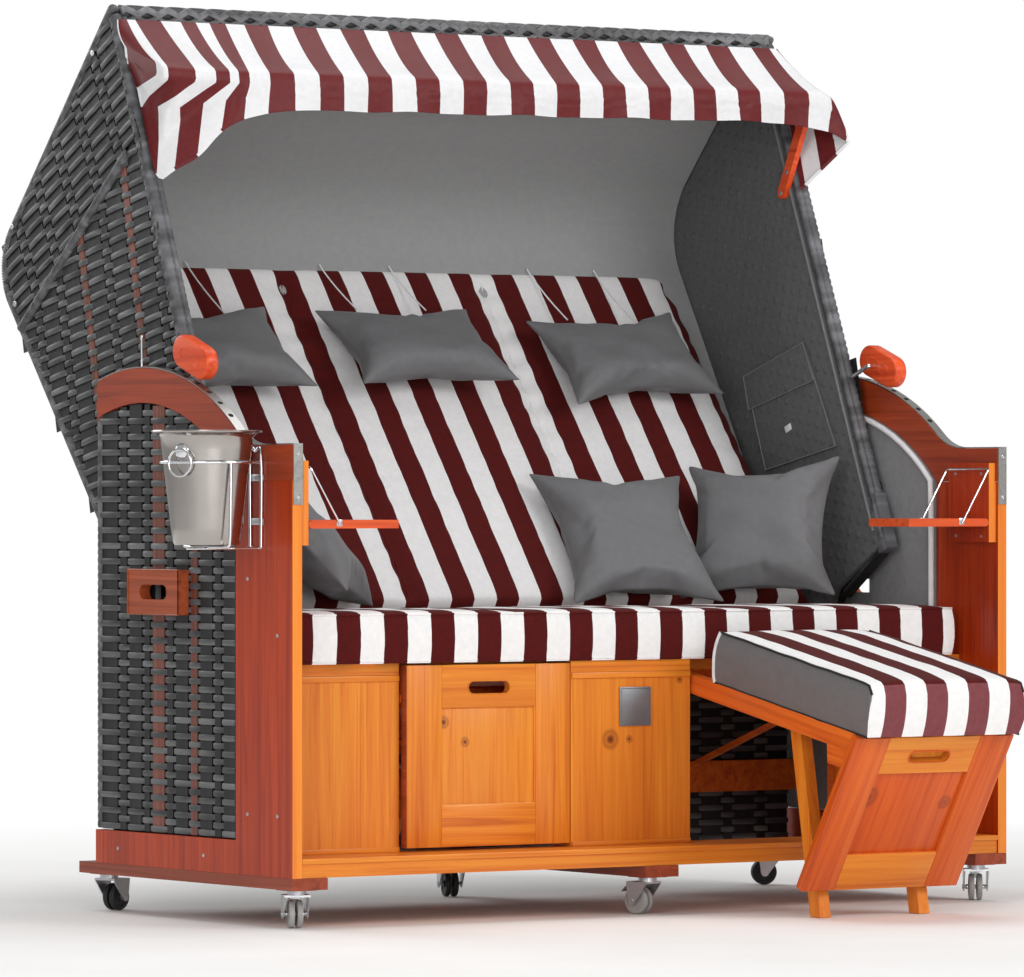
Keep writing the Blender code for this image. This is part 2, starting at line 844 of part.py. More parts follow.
def build_castor(name, across, depth, root):
    """Swivel fork and twin wheels under one end of a runner."""
    swivel = pivot("castor_swivel_" + name, (across, depth, 0.0), root, turn=-castor_turns[name])
    cup_top = runner_height - castor_plate_thickness - touch_gap
    cup_low = cup_top - castor_cup_height
    wheels_half = castor_wheel_width + castor_wheel_gap / 2
    cheek_in = wheels_half + castor_cheek_gap
    cheek_out = cheek_in + castor_cheek
    fork = solid("castor_fork_" + name,
                 rod("Z", (0.0, 0.0), castor_cup_radius, cup_low, cup_top, 20), "steel", swivel, 35.0)
    yoke_low = cup_low - castor_cheek
    join(fork, "yoke",
         box((-cheek_out, cheek_out), (-castor_cup_radius * 0.8, castor_trail + castor_axle_radius * 3),
             (yoke_low, cup_low + castor_cheek / 2)))
    cheek = [(-castor_cup_radius * 0.8, cup_low), (-castor_cup_radius * 0.8, yoke_low)]
    cheek += arc((castor_trail, castor_wheel_radius), castor_axle_radius * 2, 200.0, 360.0, 8)
    cheek += [(castor_trail + castor_axle_radius * 3, yoke_low),
              (castor_trail + castor_axle_radius * 3, cup_low)]
    for label, side in sides.items():
        low, high = sorted((side * cheek_in, side * cheek_out))
        join(fork, label + "_cheek", prism(cheek, "YZ", low, high))
    join(fork, "axle", rod("X", (castor_trail, castor_wheel_radius), castor_axle_radius,
                           -cheek_out - castor_cheek / 2, cheek_out + castor_cheek / 2, 12))

    axle = pivot("castor_axle_" + name, (0.0, castor_trail, castor_wheel_radius), swivel)
    bore = castor_axle_radius + touch_gap
    hub = castor_wheel_radius / 2
    half_gap = castor_wheel_gap / 2
    half = [(half_gap, hub), (half_gap, castor_wheel_radius), (wheels_half, castor_wheel_radius),
            (wheels_half, bore)]
    profile = half + [(-x, r) for x, r in reversed(half)]
    solid("castor_wheels_" + name, turned("X", (0.0, 0.0), profile, 20), "rubber", axle, 40.0)


def build_castors(root):
    places = {"left": -half_width + runner_width / 2, "middle": 0.0, "right": half_width - runner_width / 2}
    for name, across in places.items():
        build_castor("front_" + name, across, castor_front_depth, root)
        build_castor("rear_" + name, across, castor_rear_depth, root)


# Hood

def fillet(before, corner, after, radius, steps):
    """Arc that rounds the corner between two straight lines, from the first to the second."""
    first = Vector(before) - Vector(corner)
    second = Vector(after) - Vector(corner)
    half = first.angle(second) / 2
    towards_middle = (first.normalized() + second.normalized()).normalized()
    middle = Vector(corner) + towards_middle * radius / math.sin(half)
    start = Vector(corner) + first.normalized() * radius / math.tan(half) - middle
    end = Vector(corner) + second.normalized() * radius / math.tan(half) - middle
    return [tuple(middle + start.slerp(end, i / steps) * radius) for i in range(steps + 1)]


def hood_knee():
    """Rounded knee between the roof and the back."""
    roof_front = (roof_front_setback - hood_front_reach, roof_front_height)
    return fillet(roof_front, (knee_reach, knee_height), (rear_foot_reach, rear_foot_height),
                  knee_radius, 6)


def hood_outline():
    """Side of the hood about its pivot: front edge, roof, knee, back and the boss below."""
    boss = arc((0.0, 0.0), hood_boss_radius, 0.0, -160.0, 10)
    return [(-hood_front_reach, hood_corner_height), (-hood_front_reach, hood_front_height),
            (roof_front_setback - hood_front_reach, roof_front_height)] + hood_knee() + [
            (rear_foot_reach, rear_foot_height)] + boss + [(-hood_skirt_reach, hood_skirt_height)]


def pad_plane(level, forward):
    """Point (y, z) of the pad's face at a level, moved forward along the face's normal."""
    norm = math.hypot(1.0, pad_tilt_share)
    y = pad_face_reach + pad_tilt_share * (level - pad_face_height)
    return y - forward / norm, level + forward * pad_tilt_share / norm


def pad_bulge(across, along):
    """Crown of the pad's face; both shares run from -1 to 1 over the pad's width and height."""
    across = max(-1.0, min(1.0, across))
    section = (across + 1) / 2 * pad_sections
    index = min(int(section), pad_sections - 1)
    place = 2 * (section - index) - 1
    swell = math.sqrt(max(0.0, 1 - place ** 4)) * math.sqrt(max(0.0, 1 - along ** 8))
    return -pad_channel + (pad_channel + pad_crown) * swell


def shell_outline():
    """Roof and back in one section; the back's inner face carries the pad."""
    roof_front = (roof_front_setback - hood_front_reach, roof_front_height)
    knee = (knee_reach, knee_height)
    foot = (rear_foot_reach, rear_foot_height)
    low = meeting_point(knee, foot, (0.0, -shell_foot_drop), (knee_reach, -shell_foot_drop))
    run = (knee[0] - roof_front[0], knee[1] - roof_front[1])
    length = math.hypot(*run)
    inward = (run[1] / length * roof_thickness, -run[0] / length * roof_thickness)
    under_front = (roof_front[0] + inward[0], roof_front[1] + inward[1])
    under_rear = (knee[0] + inward[0], knee[1] + inward[1])
    nose = (-hood_front_reach, hood_front_height)
    lip = (nose[0], nose[1] - roof_lip_drop)
    lip_rear = (nose[0] + roof_lip_depth, lip[1])
    lip_top = meeting_point(under_front, under_rear, lip_rear, (lip_rear[0], 0.0))
    back_high = pad_plane(pad_top, -pad_thickness - touch_gap)
    back_low = pad_plane(pad_bottom, -pad_thickness - touch_gap)
    corner = meeting_point(back_low, back_high, under_front, under_rear)
    heel = meeting_point(back_low, back_high, (0.0, -shell_foot_drop), (knee_reach, -shell_foot_drop))
    return [lip, nose, roof_front] + hood_knee() + [low, heel, corner, lip_top, lip_rear]


def build_hood(root):
    hood = pivot("hood_pivot", (0.0, pivot_depth, pivot_height), root, tilt=-hood_rest_tilt)
    for name, side in sides.items():
        wall = solid("hood_side_" + name,
                     prism(hood_outline(), "YZ", *side_range(side, hood_inset, hood_inner_inset)),
                     "wicker", hood)
        pin_end = side_inner_inset - pivot_bore_depth + pivot_pin_end_gap
        join(wall, "pivot_pin",
             rod("X", (0.0, 0.0), pivot_pin_radius, *side_range(side, pin_end, hood_inset + cut_overrun)))
        build_latch(name, side, hood)
    solid("hood_shell", prism(shell_outline(), "YZ", -shell_half_width, shell_half_width),
          "wicker", hood)
    build_backrest(hood)
    build_awning(hood)
    return hood


def build_latch(name, side, hood):
    """Wooden grip with its spring pin; it is lifted off the rail along the arch's radius."""
    angle = math.radians(latch_angle + hood_rest_tilt)
    place = (side * (half_width - latch_inset), -latch_radius * math.sin(angle),
             latch_radius * math.cos(angle))
    frame = pivot("latch_slide_" + name, place, hood, tilt=latch_angle + hood_rest_tilt)
    half = latch_thickness / 2
    grip = solid("latch_" + name,
                 prism(stadium((0.0, 0.0), latch_length, latch_height, latch_lean, 7), "YZ", -half, half),
                 "wood", frame, 40.0)
    pin_low = arch_radius + latch_pin_clearance - latch_radius
    join(grip, "spring_pin", rod("Z", (0.0, 0.0), latch_pin_radius, pin_low, 0.0, 14))
    across = side * (latch_inset - hood_inset - hood_side_thickness / 2)
    to_rim = latch_radius * math.sin(angle) - hood_front_reach - touch_gap
    corners = [(0.0, 0.0, 0.0), (across, 0.0, 0.0),
               (across, to_rim * math.cos(angle), -to_rim * math.sin(angle))]
    join(grip, "guide_rod", tube(rounded_path(corners, latch_guide_bend, 3), latch_guide_radius, 8))


def build_backrest(hood):
    """Pad with three crowned sections and the neck pillows that hang on it."""
    middle = (pad_top + pad_bottom) / 2
    half = (pad_top - pad_bottom) / 2

    def pad_point(a, b, c):
        level = middle + b * half
        forward = pad_bulge(a, b) if c > 0 else -pad_thickness * (1 - c) / 2
        y, z = pad_plane(level, forward)
        return a * pad_half_width, y, z

    solid("backrest_cushion", block((24, 8, 2), pad_point), "striped_cloth", hood, 60.0)

    for i in range(len(neck_pillow_across_shares)):
        build_neck_pillow(i, middle, half, hood)


def build_neck_pillow(index, middle, half, hood):
    """Pillow that hangs in front of the pad, moved forward until it just clears the crown."""
    shape = pillow_shape(neck_pillow_width, neck_pillow_height, neck_pillow_thickness)
    recline = 90.0 - math.degrees(math.atan(pad_tilt_share)) - neck_pillow_leans[index]
    turn = (Matrix.Rotation(math.radians(recline), 4, "X")
            @ Matrix.Rotation(math.radians(neck_pillow_spins[index]), 4, "Z"))
    across = neck_pillow_across_shares[index] * pad_half_width
    level = middle + neck_pillow_level_shares[index] * half
    norm = math.hypot(1.0, pad_tilt_share)
    cells = 10
    forward = 0.0
    for _ in range(3):
        base_y, base_z = pad_plane(level, forward)
        clearances = []
        for i in range(cells + 1):
            for j in range(cells + 1):
                for c in (-1, 1):
                    point = turn @ Vector(shape(2 * i / cells - 1, 2 * j / cells - 1, c))
                    y, z = base_y + point.y, base_z + point.z
                    ahead = (pad_face_reach - y + pad_tilt_share * (z - pad_face_height)) / norm
                    place = (z - ahead * pad_tilt_share / norm - middle) / half
                    clearances.append(ahead - pad_bulge((across + point.x) / pad_half_width, place))
        forward += touch_gap * 2 - min(clearances)
    pillow = solid("neck_pillow_" + str(index + 1), block((cells, cells, 1), shape),
                   "grey_cloth", hood, 60.0)
    pillow.location = (across, *pad_plane(level, forward))
    pillow.rotation_euler = turn.to_euler()


def pillow_shape(width, height, thickness):
    """Unit corners to a pillow that swells from its seams, with drawn-in sides."""
    def shape(a, b, c):
        swell = math.sqrt(max(0.0, 1 - a ** 4)) * math.sqrt(max(0.0, 1 - b ** 4))
        x = a * (width / 2 - pillow_draw_in * (1 - b * b))
        y = b * (height / 2 - pillow_draw_in * (1 - a * a))
        z = c * (pillow_seam + (thickness - pillow_seam * 2) * swell) / 2
        return x, y, z

    return shape


def awning_section():
    """Middle line of the cloth from the roof's edge over the bar to the valance's hem."""
    offset = awning_bar_radius + touch_gap + awning_cloth
    root_point = (-hood_front_reach - awning_cloth / 2 - touch_gap * 2, hood_front_height - awning_drop)
    run = (-awning_bar_reach - root_point[0], awning_bar_height - root_point[1])
    length = math.hypot(*run)
    normal = (run[1] / length, -run[0] / length)
    top = (-awning_bar_reach + normal[0] * offset, awning_bar_height + normal[1] * offset)
    points = []
    steps = 6
    for i in range(steps + 1):
        share = i / steps
        sag = 4 * share * (1 - share) * awning_sag
        points.append((root_point[0] + (top[0] - root_point[0]) * share - normal[0] * sag,
                       root_point[1] + (top[1] - root_point[1]) * share - normal[1] * sag, 0.0))
    points.append((-awning_bar_reach - offset, awning_bar_height, 0.0))
    for share in (0.33, 0.66, 1.0):
        points.append((-awning_bar_reach - offset - awning_flare * share,
                       awning_bar_height - awning_valance * share, share))
    return points


def build_awning(hood):
    """Folding bow with its two wooden arms, and the cloth with side gussets."""
    bow_pivot = pivot("awning_pivot", (0.0, -awning_pivot_reach, awning_pivot_height), hood)
    bar = (awning_pivot_reach - awning_bar_reach, awning_bar_height - awning_pivot_height)
    outer_cloth = half_width - hood_inset - awning_cloth / 2
    bar_half = outer_cloth - awning_cloth - touch_gap
    bow = solid("awning_bow", rod("X", bar, awning_bar_radius, -bar_half, bar_half, 16),
                "wood", bow_pivot, 40.0)
    length = math.hypot(*bar)
    along = (bar[0] / length, bar[1] / length)
    across = (-along[1], along[0])
    half = awning_arm_width / 2
    ends = arc((length + awning_bar_radius - half, 0.0), half, -90.0, 90.0, 6)
    ends += arc((0.0, 0.0), half, 90.0, 270.0, 6)
    arm = [(along[0] * a + across[0] * b, along[1] * a + across[1] * b) for a, b in ends]
    for name, side in sides.items():
        inset = hood_inner_inset + running_gap
        join(bow, name + "_arm",
             prism(arm, "YZ", *side_range(side, inset, inset + awning_arm_thickness)))

    section = awning_section()
    rear_line = section[0][0]
    top_level = section[0][1]
    columns = 30
    gusset_columns = 3
    grid = []
    for i in range(-gusset_columns, columns + gusset_columns + 1):
        share = min(max(i / columns, 0.0), 1.0)
        x = outer_cloth * (2 * share - 1)
        back = max(-i, i - columns, 0) / gusset_columns
        column = []
        for j, (y, z, hang) in enumerate(section):
            wave = awning_fold * hang * math.sin(2 * math.pi * x / awning_fold_pitch)
            level = top_level - (top_level - awning_gusset_low) * j / (len(section) - 1)
            column.append((x, (y + wave) * (1 - back) + rear_line * back, z * (1 - back) + level * back))
        grid.append(column)

    def cloth(bm):
        verts = [[bm.verts.new(point) for point in column] for column in grid]
        for this, after in zip(verts, verts[1:]):
            for j in range(len(this) - 1):
                bm.faces.new((this[j], this[j + 1], after[j + 1], after[j]))

    cover = solid("awning_cover", cloth, "striped_cloth", hood, 60.0)
    thicken = cover.modifiers.new("cloth_thickness", "SOLIDIFY")
    thicken.thickness = awning_cloth
    thicken.offset = 0.0


# Arm shelves

def build_shelf(name, side, root):
    """Folding shelf and the wire stay that props it."""
    hinge = pivot("shelf_hinge_" + name,
                  (side * (half_width - shelf_axis_inset), 0.0, shelf_level), root)
    half = shelf_thickness / 2
    low, high = shelf_front, shelf_front + shelf_depth
    outline = [(side * x, z) for x, z in arc((0.0, 0.0), half, -90.0, 90.0, 8)]
    tip = -side * (shelf_length - half)
    outline += [(tip, half), (tip, -half)]
    solid("shelf_" + name, prism(outline, "XZ", low, high), "wood", hinge, 40.0)

    stay_pivot = pivot("stay_pivot_" + name, (-side * stay_reach, 0.0, 0.0), hinge)
    gap = stay_wire_radius + touch_gap
    top = (side * stay_length * math.sin(stay_lean), stay_length * math.cos(stay_lean))
    corners = ((0.0, low - gap, 0.0), (top[0], low - gap, top[1]),
               (top[0], high + gap, top[1]), (0.0, high + gap, 0.0))
    solid("shelf_stay_" + name, tube(rounded_path(corners, stay_wire_radius * 3, 3), stay_wire_radius, 6),
          "polished_steel", stay_pivot, 40.0)


# Footrests

def rail_end(height):
    """Depth of the rails' front end at a height in the frame's own axes, behind the panel."""
    lean = math.radians(footrest_panel_lean)
    top = footrest_rail_height - footrest_rail_drop
    front = -footrest_reach + panel_thickness / math.cos(lean) + footrest_panel_gap
    return front + (top - height) * math.tan(lean)


def build_footrest(name, side, root, stowed):
    """Rollers on the guides, frame with its front panel, and the folding legs."""
    place = stowed_roller_place() if stowed else (roller_depth, roller_height)
    pitch = -footrest_panel_lean if stowed else footrest_pitch
    middle = side * drawer_offset
    carriage = pivot("footrest_slide_" + name, (middle, *place), root)
    shaft_half = batten_offset - touch_gap * 2
    profile = (
        (-shaft_half, 0.0), (-shaft_half, roller_radius), (roller_width - shaft_half, roller_radius),
        (roller_width - shaft_half, roller_shaft_radius), (shaft_half - roller_width, roller_shaft_radius),
        (shaft_half - roller_width, roller_radius), (shaft_half, roller_radius), (shaft_half, 0.0),
    )
    solid("footrest_rollers_" + name, turned("X", (0.0, 0.0), profile, 20), "steel", carriage, 40.0)

    tilt = pivot("footrest_tilt_" + name, (0.0, 0.0, 0.0), carriage, tilt=pitch)
    top = footrest_rail_height - footrest_rail_drop
    low = -footrest_rail_drop
    cheek_low = low - footrest_cheek_drop
    cheek_back = footrest_cheek_length - footrest_reach
    outline = ((footrest_rail_tail, low), (cheek_back, low), (cheek_back - footrest_cheek_slope, cheek_low),
               (rail_end(cheek_low), cheek_low), (rail_end(top), top), (footrest_rail_tail, top))
    inner = rail_outer - footrest_rail_thickness
    frame = solid("footrest_frame_" + name, prism(outline, "YZ", inner, rail_outer), "wood", tilt)
    join(frame, "other_rail", prism(outline, "YZ", -rail_outer, -inner))
    front = rail_end(top) + footrest_slat_inset
    rear = -footrest_slat_width - footrest_slat_inset
    for i in range(footrest_slats):
        slat = front + (rear - front) * i / (footrest_slats - 1)
        join(frame, "slat_" + str(i + 1),
             box((-inner - cut_overrun, inner + cut_overrun), (slat, slat + footrest_slat_width),
                 (top - footrest_slat_thickness, top - touch_gap)))
    cut(frame, "roller_bore",
        rod("X", (0.0, 0.0), roller_bore_radius, -rail_outer - cut_overrun, rail_outer + cut_overrun, 20))
    rod_height = top - leg_rod_drop
    for label, edge in sides.items():
        start = edge * (inner - cut_overrun)
        end = edge * (inner + leg_rod_bore_depth)
        cut(frame, label + "_leg_bore",
            rod("X", (-leg_reach, rod_height), leg_rod_bore_radius, *sorted((start, end)), 16))

    build_footrest_panel(name, tilt)
    build_footrest_legs(name, tilt, rod_height, stowed)


def build_footrest_panel(name, tilt):
    """Framed front panel with a hand slot; its top rear edge meets the rails' top."""
    top = footrest_rail_height - footrest_rail_drop
    lean = math.radians(footrest_panel_lean)
    face = pivot("footrest_face_" + name,
                 (0.0, -footrest_reach + panel_thickness / math.cos(lean), top), tilt,
                 tilt=footrest_panel_lean)
    height = drawer_top - drawer_bottom
    panel = solid("footrest_panel_" + name,
                  box((-drawer_half, drawer_half), (-panel_thickness, 0.0), (-height, 0.0)),
                  "wood", face)
    field = drawer_half - drawer_frame_width
    cut(panel, "field",
        box((-field, field), (-panel_thickness - cut_overrun, drawer_field_depth - panel_thickness),
            (drawer_frame_width - height, -drawer_frame_width)))
    slot = stadium((0.0, -hand_slot_drop), hand_slot_width, hand_slot_height, 0.0, 6)
    cut(panel, "hand_slot", prism(slot, "XZ", -panel_thickness - cut_overrun, cut_overrun))


def build_footrest_legs(name, tilt, rod_height, stowed):
    """Two legs on a rod, joined by a bar; their feet are cut level with the floor when unfolded."""
    swing = leg_stow_angle if stowed else -leg_lean
    fold = pivot("footrest_leg_pivot_" + name, (0.0, -leg_reach, rod_height), tilt, tilt=swing)
    pitch = math.radians(footrest_pitch)
    rod_level = roller_height - leg_reach * math.sin(pitch) + rod_height * math.cos(pitch)
    floor_lean = math.radians(leg_lean - footrest_pitch)
    length = (rod_level - touch_gap) / math.cos(floor_lean)
    toe = leg_width / 2 * math.tan(floor_lean)
    half = leg_width / 2
    outline = arc((0.0, 0.0), half, 0.0, 180.0, 8)
    outline += [(-half, -toe - length), (half, toe - length)]
    inner = rail_outer - footrest_rail_thickness
    outer_leg = inner - leg_inset
    legs = solid("footrest_legs_" + name,
                 prism(outline, "YZ", outer_leg - leg_thickness, outer_leg), "wood", fold)
    join(legs, "other_leg", prism(outline, "YZ", -outer_leg, leg_thickness - outer_leg))
    reach = inner + leg_rod_bore_depth - leg_rod_end_gap
    join(legs, "rod", rod("X", (0.0, 0.0), leg_rod_radius, -reach, reach, 16))
    bar_reach = outer_leg - leg_thickness + cut_overrun
    join(legs, "cross_bar",
         box((-bar_reach, bar_reach), (-leg_bar_thickness / 2, leg_bar_thickness / 2),
             (-leg_bar_drop - leg_bar_height, -leg_bar_drop)))


# Soft goods on the seat and the footrest

def seat_edges(depth):
    """Half width of the seat cushion at a depth: wide ears in front of the hood, then narrow."""
    ear_end = seat_cushion_front + seat_ear_depth
    if depth <= ear_end:
        return seat_cushion_half_front
    share = min((depth - ear_end) / seat_ear_taper, 1.0)
    return seat_cushion_half_front + (seat_cushion_half_rear - seat_cushion_half_front) * share


def seat_rows():
    """Depths of the cushion's rows; two of them bound the taper behind the ears."""
    ear_end = seat_cushion_front + seat_ear_depth
    front = [seat_cushion_front + seat_ear_depth * share for share in (0.0, 0.5, 1.0)]
    rear_start = ear_end + seat_ear_taper
    return front + [rear_start + (seat_cushion_rear - rear_start) * i / 4 for i in range(5)]


def seat_crown(a, b):
    """Crown of the cushion's top; the shares run from -1 to 1 over its width and depth."""
    section = (a + 1) / 2 * pad_sections
    place = 2 * (section - min(int(section), pad_sections - 1)) - 1
    return seat_cushion_crown * math.sqrt(max(0.0, 1 - place ** 4)) * math.sqrt(max(0.0, 1 - b ** 6))


def build_seat_cushion(root):
    rows = seat_rows()
    low = seat_board_top + touch_gap

    def cushion_point(a, b, c):
        index = round((b + 1) / 2 * (len(rows) - 1))
        y = rows[index]
        draw = seat_cushion_crown / 2 * abs(c)
        x = a * (seat_edges(y) - draw)
        z = low + seat_cushion_thickness * (c + 1) / 2
        if c > 0:
            z += seat_crown(a, b)
        if index in (0, len(rows) - 1):
            y -= draw * b
        return x, y, z

    solid("seat_cushion", block((36, len(rows) - 1, 2), cushion_point), "striped_cloth", root, 60.0)


def seat_level(x, y):
    """Height of the seat cushion's top at a place."""
    top = seat_board_top + touch_gap + seat_cushion_thickness
    if not seat_cushion_front <= y <= seat_cushion_rear:
        return top
    b = 2 * (y - seat_cushion_front) / (seat_cushion_rear - seat_cushion_front) - 1
    a = max(-1.0, min(1.0, x / seat_edges(y)))
    return top + seat_crown(a, b)


def world_shape(thing):
    """Points along an object's edges in the world, and a tree of its faces."""
    corners = [thing.matrix_world @ v.co for v in thing.data.vertices]
    points = []
    for edge in thing.data.edges:
        start, end = (corners[i] for i in edge.vertices)
        points += [start.lerp(end, i / 8) for i in range(8)]
    return points, BVHTree.FromPolygons(corners, [list(face.vertices) for face in thing.data.polygons])


def room(shape, others, way):
    """How far a piece can move one way before it meets one of the others."""
    found = []
    for other in others:
        found += [other[1].ray_cast(point, way)[3] for point in shape[0]]
        found += [shape[1].ray_cast(point, -way)[3] for point in other[0]]
    return min(distance for distance in found if distance is not None)


def build_scatter_cushion(index, root):
    """Loose cushion that stands on the seat and leans on the pad."""
    shape = pillow_shape(scatter_size, scatter_size, scatter_thickness)
    across = scatter_across_shares[index] * half_width
    turn = (Matrix.Rotation(math.radians(scatter_yaws[index]), 4, "Z")
            @ Matrix.Rotation(math.radians(90.0 - scatter_leans[index]), 4, "X")
            @ Matrix.Rotation(math.radians(scatter_spins[index]), 4, "Z"))
    cells = 10
    corners = []
    for i in range(cells + 1):
        for j in range(cells + 1):
            for c in (-1, 1):
                corners.append(turn @ Vector(shape(2 * i / cells - 1, 2 * j / cells - 1, c)))
    tilt = math.radians(hood_rest_tilt)
    face_y, face_z = pad_plane(pad_face_height, pad_crown)
    face = (pivot_depth + face_y * math.cos(tilt) + face_z * math.sin(tilt),
            pivot_height - face_y * math.sin(tilt) + face_z * math.cos(tilt))
    recline = tilt + math.atan(pad_tilt_share)
    normal = (-math.cos(recline), math.sin(recline))
    place = Vector((across, seat_cushion_front, seat_level(across, seat_cushion_front)))
    for _ in range(4):
        depth = min(((place.y + p.y - face[0]) * normal[0] + (place.z + p.z - face[1]) * normal[1])
                    for p in corners)
        place.y += (depth - touch_gap * 2) / math.cos(recline)
        place.z += max(seat_level(place.x + p.x, place.y + p.y) - place.z - p.z for p in corners)
        place.z += touch_gap * 2
    cushion = solid("scatter_cushion_" + str(index + 1), block((cells, cells, 1), shape),
                    "grey_cloth", root, 60.0)
    cushion.location = place
    cushion.rotation_euler = turn.to_euler()
    carriers = ["seat_cushion", "backrest_cushion"] + ["scatter_cushion_" + str(i + 1) for i in range(index)]
    bpy.context.view_layer.update()
    others = [world_shape(bpy.data.objects[carrier]) for carrier in carriers]
    back = Vector((0.0, 1.0, 0.0))
    down = Vector((0.0, 0.0, -1.0))
    for way in (back, down, back, down):
        cushion.location += way * (room(world_shape(cushion), others, way) - touch_gap * 2)
        bpy.context.view_layer.update()


def build_footrest_cushion(name, side, root):
    """Box cushion on the extended footrest's slats; its front hangs over the panel."""
    tilt = bpy.data.objects["footrest_tilt_" + name]
    low = footrest_rail_height - footrest_rail_drop + touch_gap
    rear = -footrest_cushion_rear
    half_length = footrest_cushion_length / 2
    half_width_here = footrest_cushion_width / 2

    def cushion_point(a, b, c):
        draw = footrest_cushion_crown / 2 * abs(c)
        x = a * (half_width_here - draw)
        y = rear - half_length + b * (half_length - draw)
        z = low + footrest_cushion_thickness * (c + 1) / 2
        if c > 0:
            z += footrest_cushion_crown * math.sqrt(max(0.0, 1 - a ** 4)) * math.sqrt(max(0.0, 1 - b ** 6))
        return x, y, z

    solid("footrest_cushion", block((12, 10, 2), cushion_point), "striped_cloth", tilt, 60.0)


def stand_on_origin(root):
    """Move the root so that the box of all solids is centred on the origin and stands on Z = 0."""
    graph = bpy.context.evaluated_depsgraph_get()
    low = Vector((math.inf,) * 3)
    high = Vector((-math.inf,) * 3)
    for obj in bpy.data.objects:
        if obj.type != "MESH" or obj.hide_render:
            continue
        shaped = obj.evaluated_get(graph)
        mesh = shaped.to_mesh()
        for vertex in mesh.vertices:
            point = shaped.matrix_world @ vertex.co
            low = Vector(map(min, low, point))
            high = Vector(map(max, high, point))
        shaped.to_mesh_clear()
    root.location = (-(low.x + high.x) / 2, -(low.y + high.y) / 2, -low.z)


def build_chair():
    root = pivot("chair", (0.0, 0.0, 0.0), None)
    build_runners(root)
    for name, side in sides.items():
        build_side(name, side, root)
        build_shelf(name, side, root)
    build_rear_wall(root)
    build_fronts(root)
    build_seat_box(root)
    build_seat_board(root)
    build_bucket(root)
    build_castors(root)
    build_hood(root)
    build_footrest("left", sides["left"], root, stowed=True)
    build_footrest("right", sides["right"], root, stowed=False)
    build_seat_cushion(root)
    for index in range(len(scatter_across_shares)):
        build_scatter_cushion(index, root)
    build_footrest_cushion("right", sides["right"], root)
    bpy.context.view_layer.update()
    stand_on_origin(root)


for old in list(bpy.data.objects):
    bpy.data.objects.remove(old, do_unlink=True)
build_chair()
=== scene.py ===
import functools
import math

import bmesh
import bpy
from mathutils import Euler, Matrix, Vector, noise


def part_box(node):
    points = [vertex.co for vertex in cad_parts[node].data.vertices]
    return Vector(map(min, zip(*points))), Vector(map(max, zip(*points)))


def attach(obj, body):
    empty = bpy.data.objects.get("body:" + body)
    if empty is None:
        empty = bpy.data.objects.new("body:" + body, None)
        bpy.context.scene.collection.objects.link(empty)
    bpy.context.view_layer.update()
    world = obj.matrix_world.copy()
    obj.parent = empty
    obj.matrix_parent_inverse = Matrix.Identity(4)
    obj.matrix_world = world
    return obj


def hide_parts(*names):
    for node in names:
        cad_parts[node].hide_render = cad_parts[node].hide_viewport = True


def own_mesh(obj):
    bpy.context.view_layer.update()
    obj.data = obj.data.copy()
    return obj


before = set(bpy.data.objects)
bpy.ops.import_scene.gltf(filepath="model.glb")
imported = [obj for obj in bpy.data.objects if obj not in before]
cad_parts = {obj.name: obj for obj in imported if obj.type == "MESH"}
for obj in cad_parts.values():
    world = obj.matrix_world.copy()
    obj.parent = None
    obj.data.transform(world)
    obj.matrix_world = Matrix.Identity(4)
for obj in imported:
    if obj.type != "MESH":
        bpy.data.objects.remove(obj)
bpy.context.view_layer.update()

# Places. Chair coordinates have X from the middle, Y from the posts' front plane
# and Z from the floor; hood coordinates are the hood's own, upright, about its pivot.

left_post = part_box("side_frame_left")
right_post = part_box("side_frame_right")
middle_x = (left_post[0][0] + right_post[1][0]) / 2
half_width = (right_post[1][0] - left_post[0][0]) / 2
chair_origin = Vector((middle_x, left_post[0][1], 0.0))
chair = Matrix.Translation(chair_origin)
arch_centre, arch_radius = (0.52, 0.48), 0.522
footrest_pitch, raised_lean = 10.8, 31.3
grip_lean = 38.5
hood_tilt = 22.0
hood = (chair @ Matrix.Translation((0.0, *arch_centre))
        @ Matrix.Rotation(math.radians(-hood_tilt), 4, "X"))
sides = {"left": -1, "right": 1}

stripe_period = 0.10128
stripe_start = -0.6999

hood_outer = 0.760
hood_inner = 0.728
hood_front = -0.290
pad_half_width = 0.700
pad_top = 0.845
pad_bottom = 0.060
pad_slope = 0.2718


# Colours and shader nodes

def srgb(text):
    """A hex colour as linear red, green, blue and alpha."""
    values = []
    for i in (1, 3, 5):
        c = int(text[i:i + 2], 16) / 255
        values.append(c / 12.92 if c <= 0.04045 else ((c + 0.055) / 1.055) ** 2.4)
    return (*values, 1.0)


def mm(size):
    """Noise scale whose features are about this many millimetres across."""
    return 1000.0 / size


def add_node(tree, kind, links=None, out=0, stops=(), **settings):
    """Adds a node with its settings, colour stops and inputs; returns one of its outputs."""
    node = tree.nodes.new("ShaderNode" + kind)
    for key, value in settings.items():
        setattr(node, key, value)
    for key, value in (links or {}).items():
        if isinstance(value, bpy.types.NodeSocket):
            tree.links.new(value, node.inputs[key])
        else:
            node.inputs[key].default_value = srgb(value) if isinstance(value, str) else value
    while len(stops) > 2 and len(node.color_ramp.elements) < len(stops):
        node.color_ramp.elements.new(0.5)
    for index, (at, colour) in enumerate(stops):
        element = node.color_ramp.elements[index]
        element.position = at
        element.color = srgb(colour) if isinstance(colour, str) else (colour,) * 3 + (1.0,)
    return node.outputs[out]


